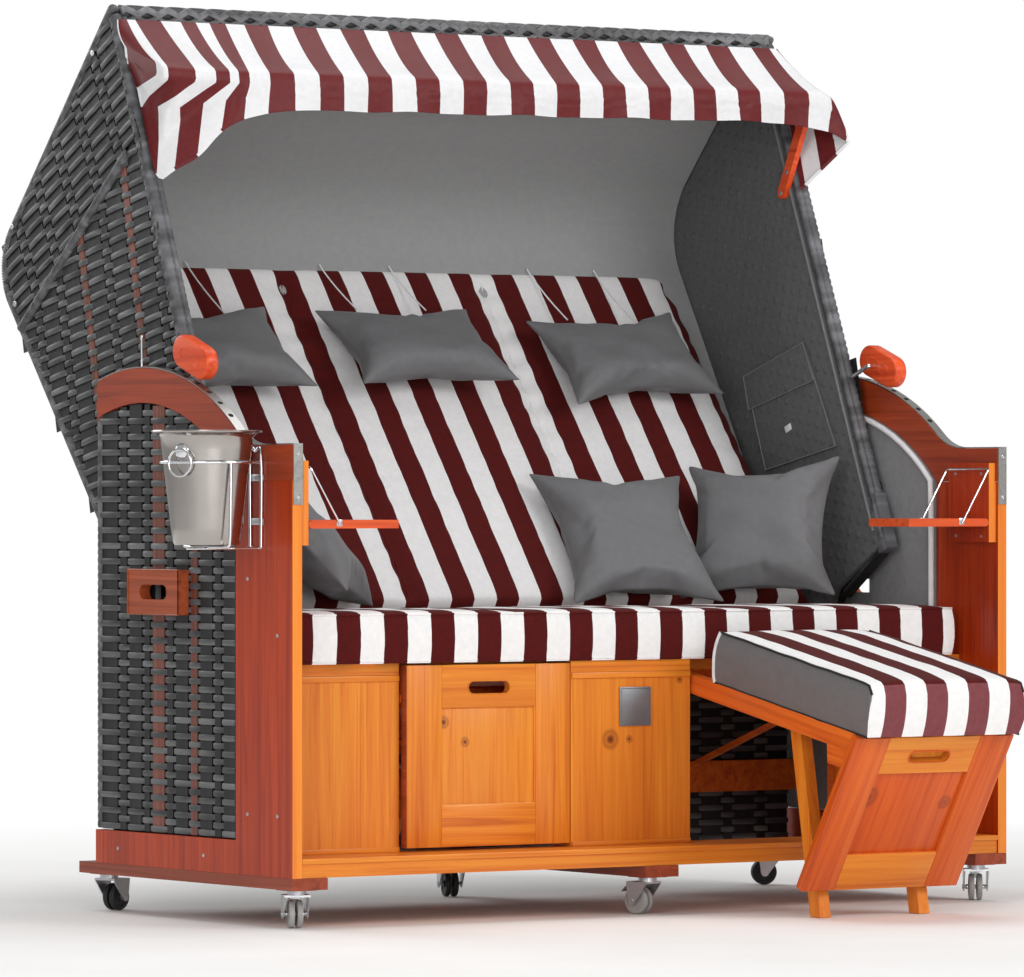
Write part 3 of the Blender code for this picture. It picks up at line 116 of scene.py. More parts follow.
class Shader:
    """A material under construction: its tree, its Principled shader and its coordinates."""

    def __init__(self, name, **settings):
        self.material = bpy.data.materials.new(name)
        self.material.use_nodes = True
        self.tree = self.material.node_tree
        self.surface = self.tree.nodes["Principled BSDF"]
        for key, value in settings.items():
            self.surface.inputs[key.replace("_", " ")].default_value = value
        self.add = functools.partial(add_node, self.tree)
        self.place = self.add("TexCoord", out="Object")

    def finish(self, colour=None, rough=None, height=None, depth=0.0002, strength=0.5):
        """Links colour, roughness and bump to the surface; returns the material."""
        if colour is not None:
            self.tree.links.new(colour, self.surface.inputs["Base Color"])
        if rough is not None:
            self.tree.links.new(rough, self.surface.inputs["Roughness"])
        if height is not None:
            relief = self.add("Bump", {"Height": height, "Distance": depth, "Strength": strength})
            self.tree.links.new(relief, self.surface.inputs["Normal"])
        return self.material


def grain_scales(along, fine, coarse):
    """Scales for the three axes, coarse along one of them."""
    return [coarse if axis == along else fine for axis in "XYZ"]


def varnished_pine(name, along, light, mid, deep, edge=None, lean=0.0, knots=()):
    """Planed softwood under a clear varnish: straight grain with knots under a satin sheen.

    Faces that point to the front take the lighter edge colour where one is given: painted light on the
    lit fronts. A lean turns the grain with a tilted panel, and knots are chair coordinates with a radius.
    """
    s = Shader(name, Roughness=0.38, Coat_Weight=0.12, Coat_Roughness=0.22,
               Specular_IOR_Level=0.35)
    source = s.place
    if lean:
        turn = (math.radians(-lean), 0.0, 0.0)
        source = s.add("Mapping", {"Vector": source, "Rotation": turn})
    drifting, ringed, fibrous = [
        s.add("Mapping", {"Vector": source, "Scale": grain_scales(along, fine, coarse)})
        for fine, coarse in ((11.0, 1.1), (mm(17), 1.6), (mm(1.8), 16.0))]
    wander = s.add("TexNoise", {"Vector": drifting, "Scale": 1.0, "Detail": 2.0, "Distortion": 0.4})
    rings = s.add("TexNoise", {"Vector": ringed, "Scale": 1.0, "Detail": 4.0, "Roughness": 0.6,
                               "Distortion": 1.1})
    fibre = s.add("TexNoise", {"Vector": fibrous, "Scale": 1.0, "Detail": 2.0})
    colour = s.add("ValToRGB", {0: rings}, stops=((0.30, deep), (0.44, mid), (0.62, light)))
    for height, stops in ((wander, ((0.38, 0.0), (0.7, 0.45))), (fibre, ((0.32, 0.18), (0.55, 0.0)))):
        share = s.add("ValToRGB", {0: height}, stops=stops)
        colour = s.add("Mix", {0: share, 6: colour, 7: deep}, 2, data_type="RGBA")
    for x, y, z, radius in knots:
        at = chair_origin + Vector((x, y, z))
        reach = s.add("VectorMath", {0: s.place, 1: at}, "Value", operation="DISTANCE")
        wobble = s.add("Math", {0: rings, 1: radius * 0.7, 2: reach}, operation="MULTIPLY_ADD")
        inside = s.add("Math", {0: wobble, 1: radius * 3}, operation="DIVIDE")
        dark = s.add("ValToRGB", {0: inside},
                     stops=((0.25, 0.95), (0.46, 0.30), (0.62, 0.5), (0.85, 0.0)))
        colour = s.add("Mix", {0: dark, 6: colour, 7: "#6E2A0E"}, 2, data_type="RGBA")
    # Faces turned to the front get the lighter edge colour: painted light on the lit fronts.
    if edge:
        normal = s.add("NewGeometry", out="Normal")
        facing = s.add("SeparateXYZ", {0: normal}, 1)
        ahead = s.add("Math", {0: facing, 1: -1.0}, operation="MULTIPLY")
        front = s.add("ValToRGB", {0: ahead}, stops=((0.6, 0.0), (0.75, 1.0)))
        grain = s.add("ValToRGB", {0: rings}, stops=((0.3, edge[1]), (0.62, edge[0])))
        colour = s.add("Mix", {0: front, 6: colour, 7: grain}, 2, data_type="RGBA")
    rough = s.add("ValToRGB", {0: rings}, stops=((0.3, 0.44), (0.7, 0.32)))
    return s.finish(colour, rough, fibre, 0.00015, 0.35)


def wicker_strip(name, tones, along="Y"):
    """Flat extruded polyethylene strip: drawn streaks along it and a dull plastic shine."""
    s = Shader(name, Roughness=0.48, Specular_IOR_Level=0.45)
    streaks, batches = [
        s.add("Mapping", {"Vector": s.place, "Scale": grain_scales(along, fine, coarse)})
        for fine, coarse in ((mm(1.4), 9.0), (mm(22), 3.0))]
    drawn = s.add("TexNoise", {"Vector": streaks, "Scale": 1.0, "Detail": 2.0, "Roughness": 0.6})
    batch = s.add("TexNoise", {"Vector": batches, "Scale": 1.0, "Detail": 1.0})
    colour = s.add("ValToRGB", {0: batch},
                   stops=((0.32, tones[0]), (0.52, tones[1]), (0.72, tones[2])))
    share = s.add("ValToRGB", {0: drawn}, stops=((0.35, 0.30), (0.65, 0.0)))
    colour = s.add("Mix", {0: share, 6: colour, 7: tones[0]}, 2, data_type="RGBA")
    rough = s.add("ValToRGB", {0: drawn}, stops=((0.3, 0.56), (0.7, 0.40)))
    return s.finish(colour, rough, drawn, 0.0003, 0.5)


def weave_height(s, pitch):
    """Bump height of a plain weave; threads are drawn coarser than real so that they show."""
    height = 0.0
    for axis in range(3):
        place = s.add("SeparateXYZ", {0: s.place}, axis)
        turned = s.add("Math", {0: place, 1: 2 * math.pi * mm(pitch)}, operation="MULTIPLY")
        wave = s.add("Math", {0: turned}, operation="SINE")
        height = s.add("Math", {0: height, 1: wave}, operation="ADD")
    return height


def woven_cloth(name, colour, dark, sheen=0.1, rough=0.85, emboss=None):
    """Tightly woven polyester: a fine grid of threads, slight slubs and a dull sheen.

    An emboss presses in a grid of small dimples, so many millimetres apart.
    """
    s = Shader(name, Roughness=rough, Specular_IOR_Level=0.35, Sheen_Weight=sheen,
               Sheen_Roughness=0.5)
    slub = s.add("TexNoise", {"Vector": s.place, "Scale": mm(14), "Detail": 3.0, "Roughness": 0.6})
    thread = s.add("TexNoise", {"Vector": s.place, "Scale": mm(1.2), "Detail": 1.0})
    tone = colour
    for height, stops in ((slub, ((0.35, 0.5), (0.65, 0.0))), (thread, ((0.3, 0.35), (0.6, 0.0)))):
        share = s.add("ValToRGB", {0: height}, stops=stops)
        tone = s.add("Mix", {0: share, 6: tone, 7: dark}, 2, data_type="RGBA")
    if not emboss:
        return s.finish(tone, None, weave_height(s, 2.0), 0.0002, 0.3)
    turned = s.add("Mapping", {"Vector": s.place, "Rotation": (0.6, 0.0, 0.0)})
    rows = []
    for axis in (1, 2):
        place = s.add("SeparateXYZ", {0: turned}, axis)
        angle = s.add("Math", {0: place, 1: 2 * math.pi * mm(emboss)}, operation="MULTIPLY")
        rows.append(s.add("Math", {0: angle}, operation="SINE"))
    grid = s.add("Math", {0: rows[0], 1: rows[1]}, operation="MULTIPLY")
    dimple = s.add("ValToRGB", {0: grid}, stops=((0.25, 0.0), (0.75, 1.0)))
    return s.finish(tone, None, dimple, 0.0025, 0.8)


def striped_cloth(name, period, start, wine, white, coordinate="X", gloss=0.85):
    """Yarn-dyed cotton canvas with woven block stripes; a coating gives the awning's gloss."""
    s = Shader(name, Roughness=gloss, Specular_IOR_Level=0.2, Sheen_Weight=0.03,
               Sheen_Roughness=0.5)
    source = s.add("TexCoord", out="UV") if coordinate == "UV" else s.place
    across = s.add("SeparateXYZ", {0: source}, 0)
    offset = s.add("Math", {0: across, 1: start}, operation="SUBTRACT")
    turns = s.add("Math", {0: offset, 1: period}, operation="DIVIDE")
    phase = s.add("Math", {0: turns}, operation="FRACT")
    striped = s.add("Math", {0: phase, 1: 0.5}, operation="GREATER_THAN")
    slub = s.add("TexNoise", {"Vector": s.place, "Scale": mm(11), "Detail": 3.0, "Roughness": 0.6})
    thread = s.add("TexNoise", {"Vector": s.place, "Scale": mm(1.2), "Detail": 1.0})
    dyed = []
    for (tone, deep), share in ((wine, 0.55), (white, 0.5)):
        faded = s.add("ValToRGB", {0: slub}, stops=((0.35, share), (0.65, 0.0)))
        dyed.append(s.add("Mix", {0: faded, 6: tone, 7: deep}, 2, data_type="RGBA"))
    red, pale = dyed
    colour = s.add("Mix", {0: striped, 6: pale, 7: red}, 2, data_type="RGBA")
    share = s.add("ValToRGB", {0: thread}, stops=((0.3, 0.07), (0.6, 0.0)))
    colour = s.add("Mix", {0: share, 6: colour, 7: wine[1]}, 2, data_type="RGBA")
    return s.finish(colour, None, weave_height(s, 2.0), 0.00015, 0.3)


def bright_metal(name, tone, rough, brushed=(mm(6), mm(6), mm(6))):
    """Bare or plated steel; brushing shows as fine streaks round the piece."""
    s = Shader(name, Metallic=1.0)
    streaks = s.add("Mapping", {"Vector": s.place, "Scale": brushed})
    fine = s.add("TexNoise", {"Vector": streaks, "Scale": 1.0, "Detail": 3.0, "Roughness": 0.6})
    smear = s.add("TexNoise", {"Vector": s.place, "Scale": mm(40), "Detail": 2.0})
    share = s.add("ValToRGB", {0: smear}, stops=((0.3, 0.25), (0.7, 0.0)))
    colour = s.add("Mix", {0: share, 6: tone[0], 7: tone[1]}, 2, data_type="RGBA")
    matt = s.add("ValToRGB", {0: fine}, stops=((0.3, rough[0]), (0.7, rough[1])))
    return s.finish(colour, matt, fine, 0.00005, 0.25)


def moulded_plastic(name, tone, deep, rough=0.5):
    """Injection-moulded plastic: a fine spark-eroded grain and scuffs dull its shine."""
    s = Shader(name, Roughness=rough, Specular_IOR_Level=0.4)
    grit = s.add("TexNoise", {"Vector": s.place, "Scale": mm(1.5), "Detail": 2.0})
    scuff = s.add("TexNoise", {"Vector": s.place, "Scale": mm(9), "Detail": 4.0, "Roughness": 0.7})
    share = s.add("ValToRGB", {0: scuff}, stops=((0.4, 0.5), (0.7, 0.0)))
    colour = s.add("Mix", {0: share, 6: tone, 7: deep}, 2, data_type="RGBA")
    matt = s.add("ValToRGB", {0: scuff}, stops=((0.3, rough + 0.12), (0.7, rough - 0.08)))
    return s.finish(colour, matt, grit, 0.00008, 0.3)


wine_dye = ("#520A08", "#430706")
white_yarn = ("#F0F0EF", "#E4E3E2")
red_stain = ("#BC400A", "#A83206", "#8A2604")
honey_stain = ("#E8922E", "#DE7E22", "#C4641A")
# Lighter tones for the posts' front faces: painted light where the lamps fall on them.
lit_front_tones = ("#EC8A2C", "#DC701E")
drawer_knots = ((-0.410, 0.1055, 0.358, 0.006), (-0.3634, 0.1055, 0.3214, 0.005))
centre_knots = ((-0.046, 0.100, 0.320, 0.010), (-0.0035, 0.100, 0.320, 0.004),
                (0.1105, 0.100, 0.428, 0.004))
raised_knots = ((0.2133, -0.3458, 0.2209, 0.012), (0.395, -0.337, 0.2065, 0.008))

post_pine = varnished_pine("red_stained_pine_upright", "Z", *red_stain, edge=lit_front_tones)
arch_pine = varnished_pine("red_stained_pine_arch", "Y", "#B04622", "#983A1A", "#762812")
runner_pine = varnished_pine("stained_pine_runner", "Y", "#A84C2C", "#943E20", "#783016")
panel_pine = varnished_pine("honey_varnished_pine_upright", "Z", *honey_stain, knots=centre_knots)
field_pine = varnished_pine("honey_varnished_pine_field", "Z", "#EC9A36", "#E2862A", "#CA6C20",
                            knots=drawer_knots)
across_pine = varnished_pine("honey_varnished_pine_across", "X", *honey_stain)
depth_pine = varnished_pine("honey_varnished_pine_lengthwise", "Y", "#E8762A", "#D8641F", "#B84C16",
                            lean=footrest_pitch)
raised_pine = varnished_pine("orange_varnished_pine_raised_stiles", "Z", "#DE6A1C", "#D05814",
                             "#B2440E",
                             lean=raised_lean)
raised_field_pine = varnished_pine("orange_varnished_pine_raised_field", "Z", "#DC6418", "#CE5410",
                                   "#B4420C",
                                   lean=raised_lean, knots=raised_knots)
shelf_pine = varnished_pine("orange_stained_pine_shelf", "X", "#E8622A", "#D8501E", "#B43E14")
grip_pine = varnished_pine("orange_lacquered_beech", "Y", "#F0602C", "#E04C1E", "#C03C14")
handle_pine = varnished_pine("carry_handle_pine", "Y", "#B85A34", "#A04824", "#7E3418")
grey_tones = ("#363637", "#545556", "#737475")
strip_y = wicker_strip("grey_wicker_strip_rows", grey_tones)
strip_x = wicker_strip("grey_wicker_strip_across", grey_tones, "X")
stave_dark = wicker_strip("dark_wicker_stave", ("#111112", "#18181A", "#242426"), "Z")
stave_wood = varnished_pine("stained_wooden_stave", "Z", "#8E5242", "#744032", "#563024")
wrapped_strip = wicker_strip("grey_wicker_wrapping", ("#434345", "#606063", "#7C7C80"), "X")
braid_strip = wicker_strip("glossy_braided_strip", ("#4E4E50", "#747476", "#909092"), "X")
# Black sheets behind the weaves and black discs in the rail's holes: painted shade seen through gaps and holes.
shade_black = moulded_plastic("black_sheet_for_painted_shade", "#161617", "#0E0E0F", 0.8)
roof_cloth = woven_cloth("roof_lining_cloth", "#9A9B9B", "#909191")
side_cloth = woven_cloth("embossed_side_lining_cloth", "#5E5F5F", "#525353", emboss=38.0)
arm_cloth = woven_cloth("arm_lining_cloth", "#858587", "#747476")
pillow_cloth = woven_cloth("grey_satin_pillow_cloth", "#6C6C6E", "#626264", 0.1, 0.5)
piping_cloth = woven_cloth("white_piping_cord", "#EDEDEE", "#D5D5D8", 0.1)
black_piping = woven_cloth("black_piping_cord", "#1B1B1D", "#121213", 0.1)
seat_cloth = striped_cloth("striped_seat_cloth", stripe_period, middle_x + stripe_start, wine_dye,
                           white_yarn)
pad_cloth = striped_cloth("striped_backrest_cloth", stripe_period, middle_x + stripe_start, wine_dye,
                          ("#E6E5E5", "#DAD9D9"))
awning_cloth = striped_cloth("coated_awning_cloth", 0.107, -0.582, ("#6A2224", "#5C181A"),
                             ("#E7E7E8", "#DADBDE"), "UV", gloss=0.38)
footrest_start = middle_x + 0.3145 - 0.178 - 0.0115
footrest_cloth = striped_cloth("striped_footrest_cloth", 0.0945, footrest_start, wine_dye,
                               white_yarn)
footrest_face_cloth = striped_cloth("pale_striped_footrest_face", 0.0945, footrest_start,
                                    ("#7E4448", "#70383C"), white_yarn)
brushed_steel = bright_metal("brushed_stainless_steel", ("#B2ACA8", "#9C9894"), (0.14, 0.24),
                             (mm(60), mm(60), mm(0.8)))
chrome_wire = bright_metal("chromed_steel_wire", ("#E6E7EA", "#CBCDD2"), (0.08, 0.16))
zinc = bright_metal("zinc_plated_steel", ("#C9CBCE", "#A9ACB1"), (0.28, 0.42))
rail_steel = bright_metal("rolled_steel_strip", ("#B8B6B2", "#9E9C99"), (0.26, 0.38))
plate_tin = bright_metal("etched_tin_plate", ("#8C8F92", "#6F7376"), (0.40, 0.55))
grey_wheel = moulded_plastic("grey_polyurethane_tread", "#A5A3A1", "#8C8A88", 0.45)
dark_wheel = moulded_plastic("black_nylon_wheel", "#232325", "#18181A", 0.45)
black_iron = moulded_plastic("black_painted_strip", "#1E1E1F", "#141415", 0.4)


# Shapes: each is a list of points and a list of faces

def merged(shapes):
    points, faces = [], []
    for more_points, more_faces in shapes:
        base = len(points)
        points += [Vector(p) for p in more_points]
        faces += [[base + i for i in face] for face in more_faces]
    return points, faces


def moved(shape, matrix):
    return [matrix @ Vector(p) for p in shape[0]], shape[1]


def frames_along(path, normal):
    """Two cross directions at each point of a path, kept steady against a normal."""
    found = []
    for i in range(len(path)):
        ahead = (path[min(i + 1, len(path) - 1)] - path[max(i - 1, 0)]).normalized()
        side = ahead.cross(normal)
        if side.length < 1e-6:
            side = ahead.cross(Vector((0.31, 0.17, 0.93)))
        side.normalize()
        found.append((side, side.cross(ahead).normalized()))
    return found


def skin(rings, size, closed=False):
    """Faces between rings of points that follow each other; open ends are capped."""
    faces = []
    for i in range(rings if closed else rings - 1):
        here, there = i * size, (i + 1) % rings * size
        for j in range(size):
            k = (j + 1) % size
            faces.append([here + j, here + k, there + k, there + j])
    if not closed:
        faces.append(list(range(size))[::-1])
        faces.append([(rings - 1) * size + j for j in range(size)])
    return faces


def swept(path, section, normal=(0, 0, 1), closed=False):
    """Sweeps a closed section of (side, up) points along a path; ends are capped."""
    path = [Vector(p) for p in path]
    points = []
    for at, (side, up) in zip(path, frames_along(path, Vector(normal))):
        points += [at + side * a + up * b for a, b in section]
    return points, skin(len(path), len(section), closed)


def round_section(radius, sides_count=10, flat=1.0):
    return [(radius * math.cos(2 * math.pi * i / sides_count),
             radius * flat * math.sin(2 * math.pi * i / sides_count)) for i in range(sides_count)]


def tube(path, radius, sides_count=10, normal=(0, 0, 1), closed=False):
    return swept(path, round_section(radius, sides_count), normal, closed)


def strip_section(width, thick, crown):
    """A flat strip with a slightly domed outer face."""
    half = width / 2
    return [(-half, -thick / 2), (half, -thick / 2), (half, thick / 4),
            (half * 0.55, thick / 2 + crown),
            (-half * 0.55, thick / 2 + crown), (-half, thick / 4)]


def smooth_path(points, steps=6, closed=False):
    """Catmull-Rom curve through points."""
    points = [Vector(p) for p in points]
    count = len(points)
    path = []
    for i in range(count if closed else count - 1):
        if closed:
            a, b, c, d = (points[(i + k) % count] for k in (-1, 0, 1, 2))
        else:
            b, c = points[i], points[i + 1]
            a = points[i - 1] if i else b * 2 - c
            d = points[i + 2] if i + 2 < count else c * 2 - b
        for k in range(steps):
            t = k / steps
            path.append(0.5 * (b * 2 + (c - a) * t + (a * 2 - b * 5 + c * 4 - d) * t * t
                               + (b * 3 - a - c * 3 + d) * t * t * t))
    if not closed:
        path.append(points[-1])
    return path


def arc_points(centre, radius, start, end, steps):
    return [(centre[0] + radius * math.cos(math.radians(start + (end - start) * i / steps)),
             centre[1] + radius * math.sin(math.radians(start + (end - start) * i / steps)))
            for i in range(steps + 1)]


def lathe(profile, count=48, centre=(0, 0, 0), axis="Z"):
    """Turns a closed profile of (radius, height) points about an axis."""
    points, faces = [], []
    size = len(profile)
    for i in range(count):
        angle = 2 * math.pi * i / count
        for r, h in profile:
            p = (r * math.cos(angle), r * math.sin(angle), h)
            if axis == "X":
                p = (h, p[0], p[1])
            points.append(Vector(p) + Vector(centre))
    for i in range(count):
        here, there = i * size, (i + 1) % count * size
        for j in range(size):
            k = (j + 1) % size
            faces.append([here + j, there + j, there + k, here + k])
    return points, faces


def board(low, high, bevel=0.002, segments=2):
    """A board with eased edges."""
    bm = bmesh.new()
    bmesh.ops.create_cube(bm, size=1.0)
    for v in bm.verts:
        v.co = Vector(((low[i] + high[i]) / 2 + v.co[i] * (high[i] - low[i]) for i in range(3)))
    bmesh.ops.bevel(bm, geom=bm.edges[:], offset=bevel, segments=segments, affect="EDGES", profile=0.5)
    bm.verts.index_update()
    shape = ([v.co.copy() for v in bm.verts], [[v.index for v in f.verts] for f in bm.faces])
    bm.free()
    return shape


def plate(outline, low, high, axis="X", holes=(), bevel=0.0, segments=2):
    """A flat plate of any outline, with holes, extruded along an axis and eased."""
    order = {"X": lambda a, b, c: (c, a, b), "Y": lambda a, b, c: (a, c, b), "Z": lambda a, b,
             c: (a, b, c)}
    turn = order[axis]
    bm = bmesh.new()
    rings = []
    for ring in (outline, *holes):
        verts = [bm.verts.new(turn(a, b, 0.0)) for a, b in ring]
        edges = [bm.edges.new((verts[i], verts[(i + 1) % len(verts)])) for i in range(len(verts))]
        rings += edges
    bmesh.ops.triangle_fill(bm, edges=rings, use_beauty=True)
    bmesh.ops.dissolve_limit(bm, angle_limit=0.01, verts=bm.verts[:], edges=bm.edges[:])
    top = bmesh.ops.extrude_face_region(bm, geom=bm.faces[:])["geom"]
    offset = Vector(turn(0.0, 0.0, 1.0))
    lifted = [g for g in top if isinstance(g, bmesh.types.BMVert)]
    for v in bm.verts:
        v.co += offset * low
    for v in lifted:
        v.co += offset * (high - low)
    bmesh.ops.recalc_face_normals(bm, faces=bm.faces[:])
    if bevel:
        edges = [e for e in bm.edges if len(e.link_faces) == 2 and e.calc_face_angle(0.0) > 0.6]
        bmesh.ops.bevel(bm, geom=edges, offset=bevel, segments=segments, affect="EDGES", profile=0.5)
    bm.verts.index_update()
    shape = ([v.co.copy() for v in bm.verts], [[v.index for v in f.verts] for f in bm.faces])
    bm.free()
    return shape


def thick_sheet(grid, thick, out):
    """A closed sheet over a grid of points; out gives the direction of its face at a point."""
    rows, columns = len(grid), len(grid[0])
    points, faces = [], []
    for layer in (0.0, -thick):
        for i, row in enumerate(grid):
            for j, p in enumerate(row):
                points.append(Vector(p) + out(i, j) * layer)
    count = rows * columns
    for i in range(rows - 1):
        for j in range(columns - 1):
            a, b = i * columns + j, (i + 1) * columns + j
            faces.append([a, b, b + 1, a + 1])
            faces.append([count + a + 1, count + b + 1, count + b, count + a])
    rim = ([(0, j) for j in range(columns)] + [(i, columns - 1) for i in range(1, rows)]
           + [(rows - 1, j) for j in range(columns - 2, -1, -1)] + [(i, 0) for i in range(rows - 2, 0,
                                                                                          -1)])
    ring = [i * columns + j for i, j in rim]
    for a, b in zip(ring, ring[1:] + ring[:1]):
        faces.append([a, b, count + b, count + a])
    return points, faces


def block(counts, shape):
    """Closed grid block; shape maps -1..1 on three axes to a point."""
    nx, ny, nz = counts
    index, points, faces = {}, [], []

    def corner(i, j, k):
        if (i, j, k) not in index:
            index[i, j, k] = len(points)
            points.append(Vector(shape(2 * i / nx - 1, 2 * j / ny - 1, 2 * k / nz - 1)))
        return index[i, j, k]

    for i in range(nx):
        for j in range(ny):
            faces.append([corner(i, j, nz), corner(i + 1, j, nz), corner(i + 1, j + 1, nz),
                          corner(i, j + 1, nz)])
            faces.append([corner(i, j, 0), corner(i, j + 1, 0), corner(i + 1, j + 1, 0),
                          corner(i + 1, j, 0)])
    for i in range(nx):
        for k in range(nz):
            faces.append([corner(i, 0, k), corner(i + 1, 0, k), corner(i + 1, 0, k + 1),
                          corner(i, 0, k + 1)])
            faces.append([corner(i, ny, k), corner(i, ny, k + 1), corner(i + 1, ny, k + 1),
                          corner(i + 1, ny, k)])
    for j in range(ny):
        for k in range(nz):
            faces.append([corner(0, j, k), corner(0, j, k + 1), corner(0, j + 1, k + 1),
                          corner(0, j + 1, k)])
            faces.append([corner(nx, j, k), corner(nx, j + 1, k), corner(nx, j + 1, k + 1),
                          corner(nx, j, k + 1)])
    return points, faces


def add_piece(name, shape, finish, body, stands_for=(), angle=40.0, matrix=chair, subdivide=0):
    """Makes a piece of the chair; it rides on a body and takes the place of CAD nodes."""
    mesh = bpy.data.meshes.new(name)
    points, faces = shape
    mesh.from_pydata([matrix @ Vector(p) for p in points], [], faces)
    mesh.validate()
    bm = bmesh.new()
    bm.from_mesh(mesh)
    bmesh.ops.recalc_face_normals(bm, faces=bm.faces[:])
    bm.to_mesh(mesh)
    bm.free()
    mesh.shade_smooth()
    if angle < 180.0:
        mesh.set_sharp_from_angle(angle=math.radians(angle))
    made = bpy.data.objects.new(name, mesh)
    bpy.context.scene.collection.objects.link(made)
    mesh.materials.append(finish)
    if subdivide:
        made.modifiers.new("rounding", "SUBSURF").levels = subdivide
        made.modifiers["rounding"].render_levels = subdivide
    if stands_for:
        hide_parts(*stands_for)
    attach(made, body)
    return made


def screws(places, radius=0.0032, out=(0, -1, 0)):
    """Domed screw heads with a cross slot left as a dimple."""
    out = Vector(out)
    shapes = []
    for place in places:
        profile = [(0.0008, -0.0006), (0.0008, 0.0007), (radius * 0.6, 0.0011), (radius * 0.92, 0.0007),
                   (radius, 0.0), (radius, -0.0006)]
        shape = lathe(profile, 14)
        turn = Vector((0, 0, 1)).rotation_difference(out).to_matrix().to_4x4()
        shapes.append(moved(shape, Matrix.Translation(place) @ turn))
    return merged(shapes)


# Weaving

def crossings(outline, level, axis):
    """Stretches of a line at a level that lie inside an outline of (a, b) points."""
    hits = []
    for p, q in zip(outline, outline[1:] + outline[:1]):
        if (p[axis] - level) * (q[axis] - level) < 0:
            share = (level - p[axis]) / (q[axis] - p[axis])
            hits.append(p[1 - axis] + (q[1 - axis] - p[1 - axis]) * share)
    hits.sort()
    return list(zip(hits[::2], hits[1::2]))


def turned_outline(outline, angle):
    c, s = math.cos(math.radians(angle)), math.sin(math.radians(angle))
    return [(a * c - b * s, a * s + b * c) for a, b in outline]


def weave(outline, pitch, staves, lift, to_place, angle=0.0, margin=0.002, holes=()):
    """Rows of flat strips over and under upright staves, inside an outline.

    staves holds (centre, width, kind); rows run along the first axis after turning the
    outline by an angle. Gives the shapes of the rows and of the staves by kind.
    """
    outline = turned_outline(outline, -angle)
    holes = [turned_outline(hole, -angle) for hole in holes]
    back = math.cos(math.radians(angle)), math.sin(math.radians(angle))

    def place(a, b, c):
        return to_place(a * back[0] - b * back[1], a * back[1] + b * back[0], c)

    def clear(stretches, level, axis):
        for hole in holes:
            cuts = crossings(hole, level, axis)
            for low, high in cuts:
                kept = []
                for start, end in stretches:
                    if high <= start or low >= end:
                        kept.append((start, end))
                        continue
                    if low - start > 0.004:
                        kept.append((start, low))
                    if end - high > 0.004:
                        kept.append((high, end))
                stretches = kept
        return stretches

    up = (place(0.0, 1.0, 0.0) - place(0.0, 0.0, 0.0)).normalized()
    out = (place(0.0, 0.0, 1.0) - place(0.0, 0.0, 0.0)).normalized()
    lowest = min(p[1] for p in outline)
    highest = max(p[1] for p in outline)
    section = strip_section(pitch * 0.76, 0.0016, 0.0008)
    rows = []
    count = int((highest - lowest) / pitch)
    for row in range(count):
        level = lowest + pitch * (row + 0.5)
        for start, end in clear(crossings(outline, level, 1), level, 1):
            start, end = start + margin, end - margin
            if end - start < 0.008:
                continue
            knots = []
            for index, (centre, width, _) in enumerate(staves):
                height = lift if (index + row) % 2 == 0 else -lift
                for share in (-0.5, 0.0, 0.5):
                    knots.append((centre + width * share, height * (1.0 if share == 0 else 0.8)))
            inside = [k for k in knots if start < k[0] < end]
            if not inside:
                continue

            def height_at(a):
                before = max((k for k in knots if k[0] <= a), default=knots[0])
                after = min((k for k in knots if k[0] >= a), default=knots[-1])
                if after[0] == before[0]:
                    return before[1]
                return before[1] + (after[1] - before[1]) * (a - before[0]) / (after[0] - before[0])

            stops = [(start, height_at(start))] + inside + [(end, height_at(end))]
            points = [place(a, level, c) + up * b + out * d for a, c in stops for b, d in section]
            rows.append((points, skin(len(stops), len(section))))
    upright = {}
    for centre, width, kind in staves:
        for start, end in clear(crossings(outline, centre, 0), centre, 0):
            if end - start < 0.01:
                continue
            low, high = start + 0.001, end - 0.001
            corners = [place(a, b, c) for b in (low, high) for a, c in
                       ((centre - width / 2, -0.0009), (centre + width / 2, -0.0009),
                        (centre + width / 2, 0.0009), (centre - width / 2, 0.0009))]
            faces = [[0, 1, 2, 3][::-1], [4, 5, 6, 7]]
            faces += [[j, (j + 1) % 4, 4 + (j + 1) % 4, 4 + j] for j in range(4)]
            upright.setdefault(kind, []).append((corners, faces))
    return merged(rows), {kind: merged(shapes) for kind, shapes in upright.items()}


def stave_places(start, end, wide, narrow, gap, wooden=()):
    """Wide and narrow staves in turn; the numbers in wooden are bare wood."""
    staves, at, index = [], start, 0
    while at < end:
        width = wide if index % 2 == 0 else narrow
        kind = "wood" if index in wooden else "dark"
        staves.append((at + width / 2, width, kind))
        at += width + gap
        index += 1
    return staves


def add_weave(name, outline, staves, to_place, body, finish, stands_for=(), angle=0.0, pitch=0.0143,
              holes=(), matrix=chair, lift=0.0036):
    rows, upright = weave(outline, pitch, staves, lift, to_place, angle, holes=holes)
    add_piece(name, rows, finish, body, stands_for, 50.0, matrix)
    for kind, shape in upright.items():
        add_piece(name + "_staves_" + kind, shape, stave_wood if kind == "wood" else stave_dark, body,
                  (), 30.0, matrix)


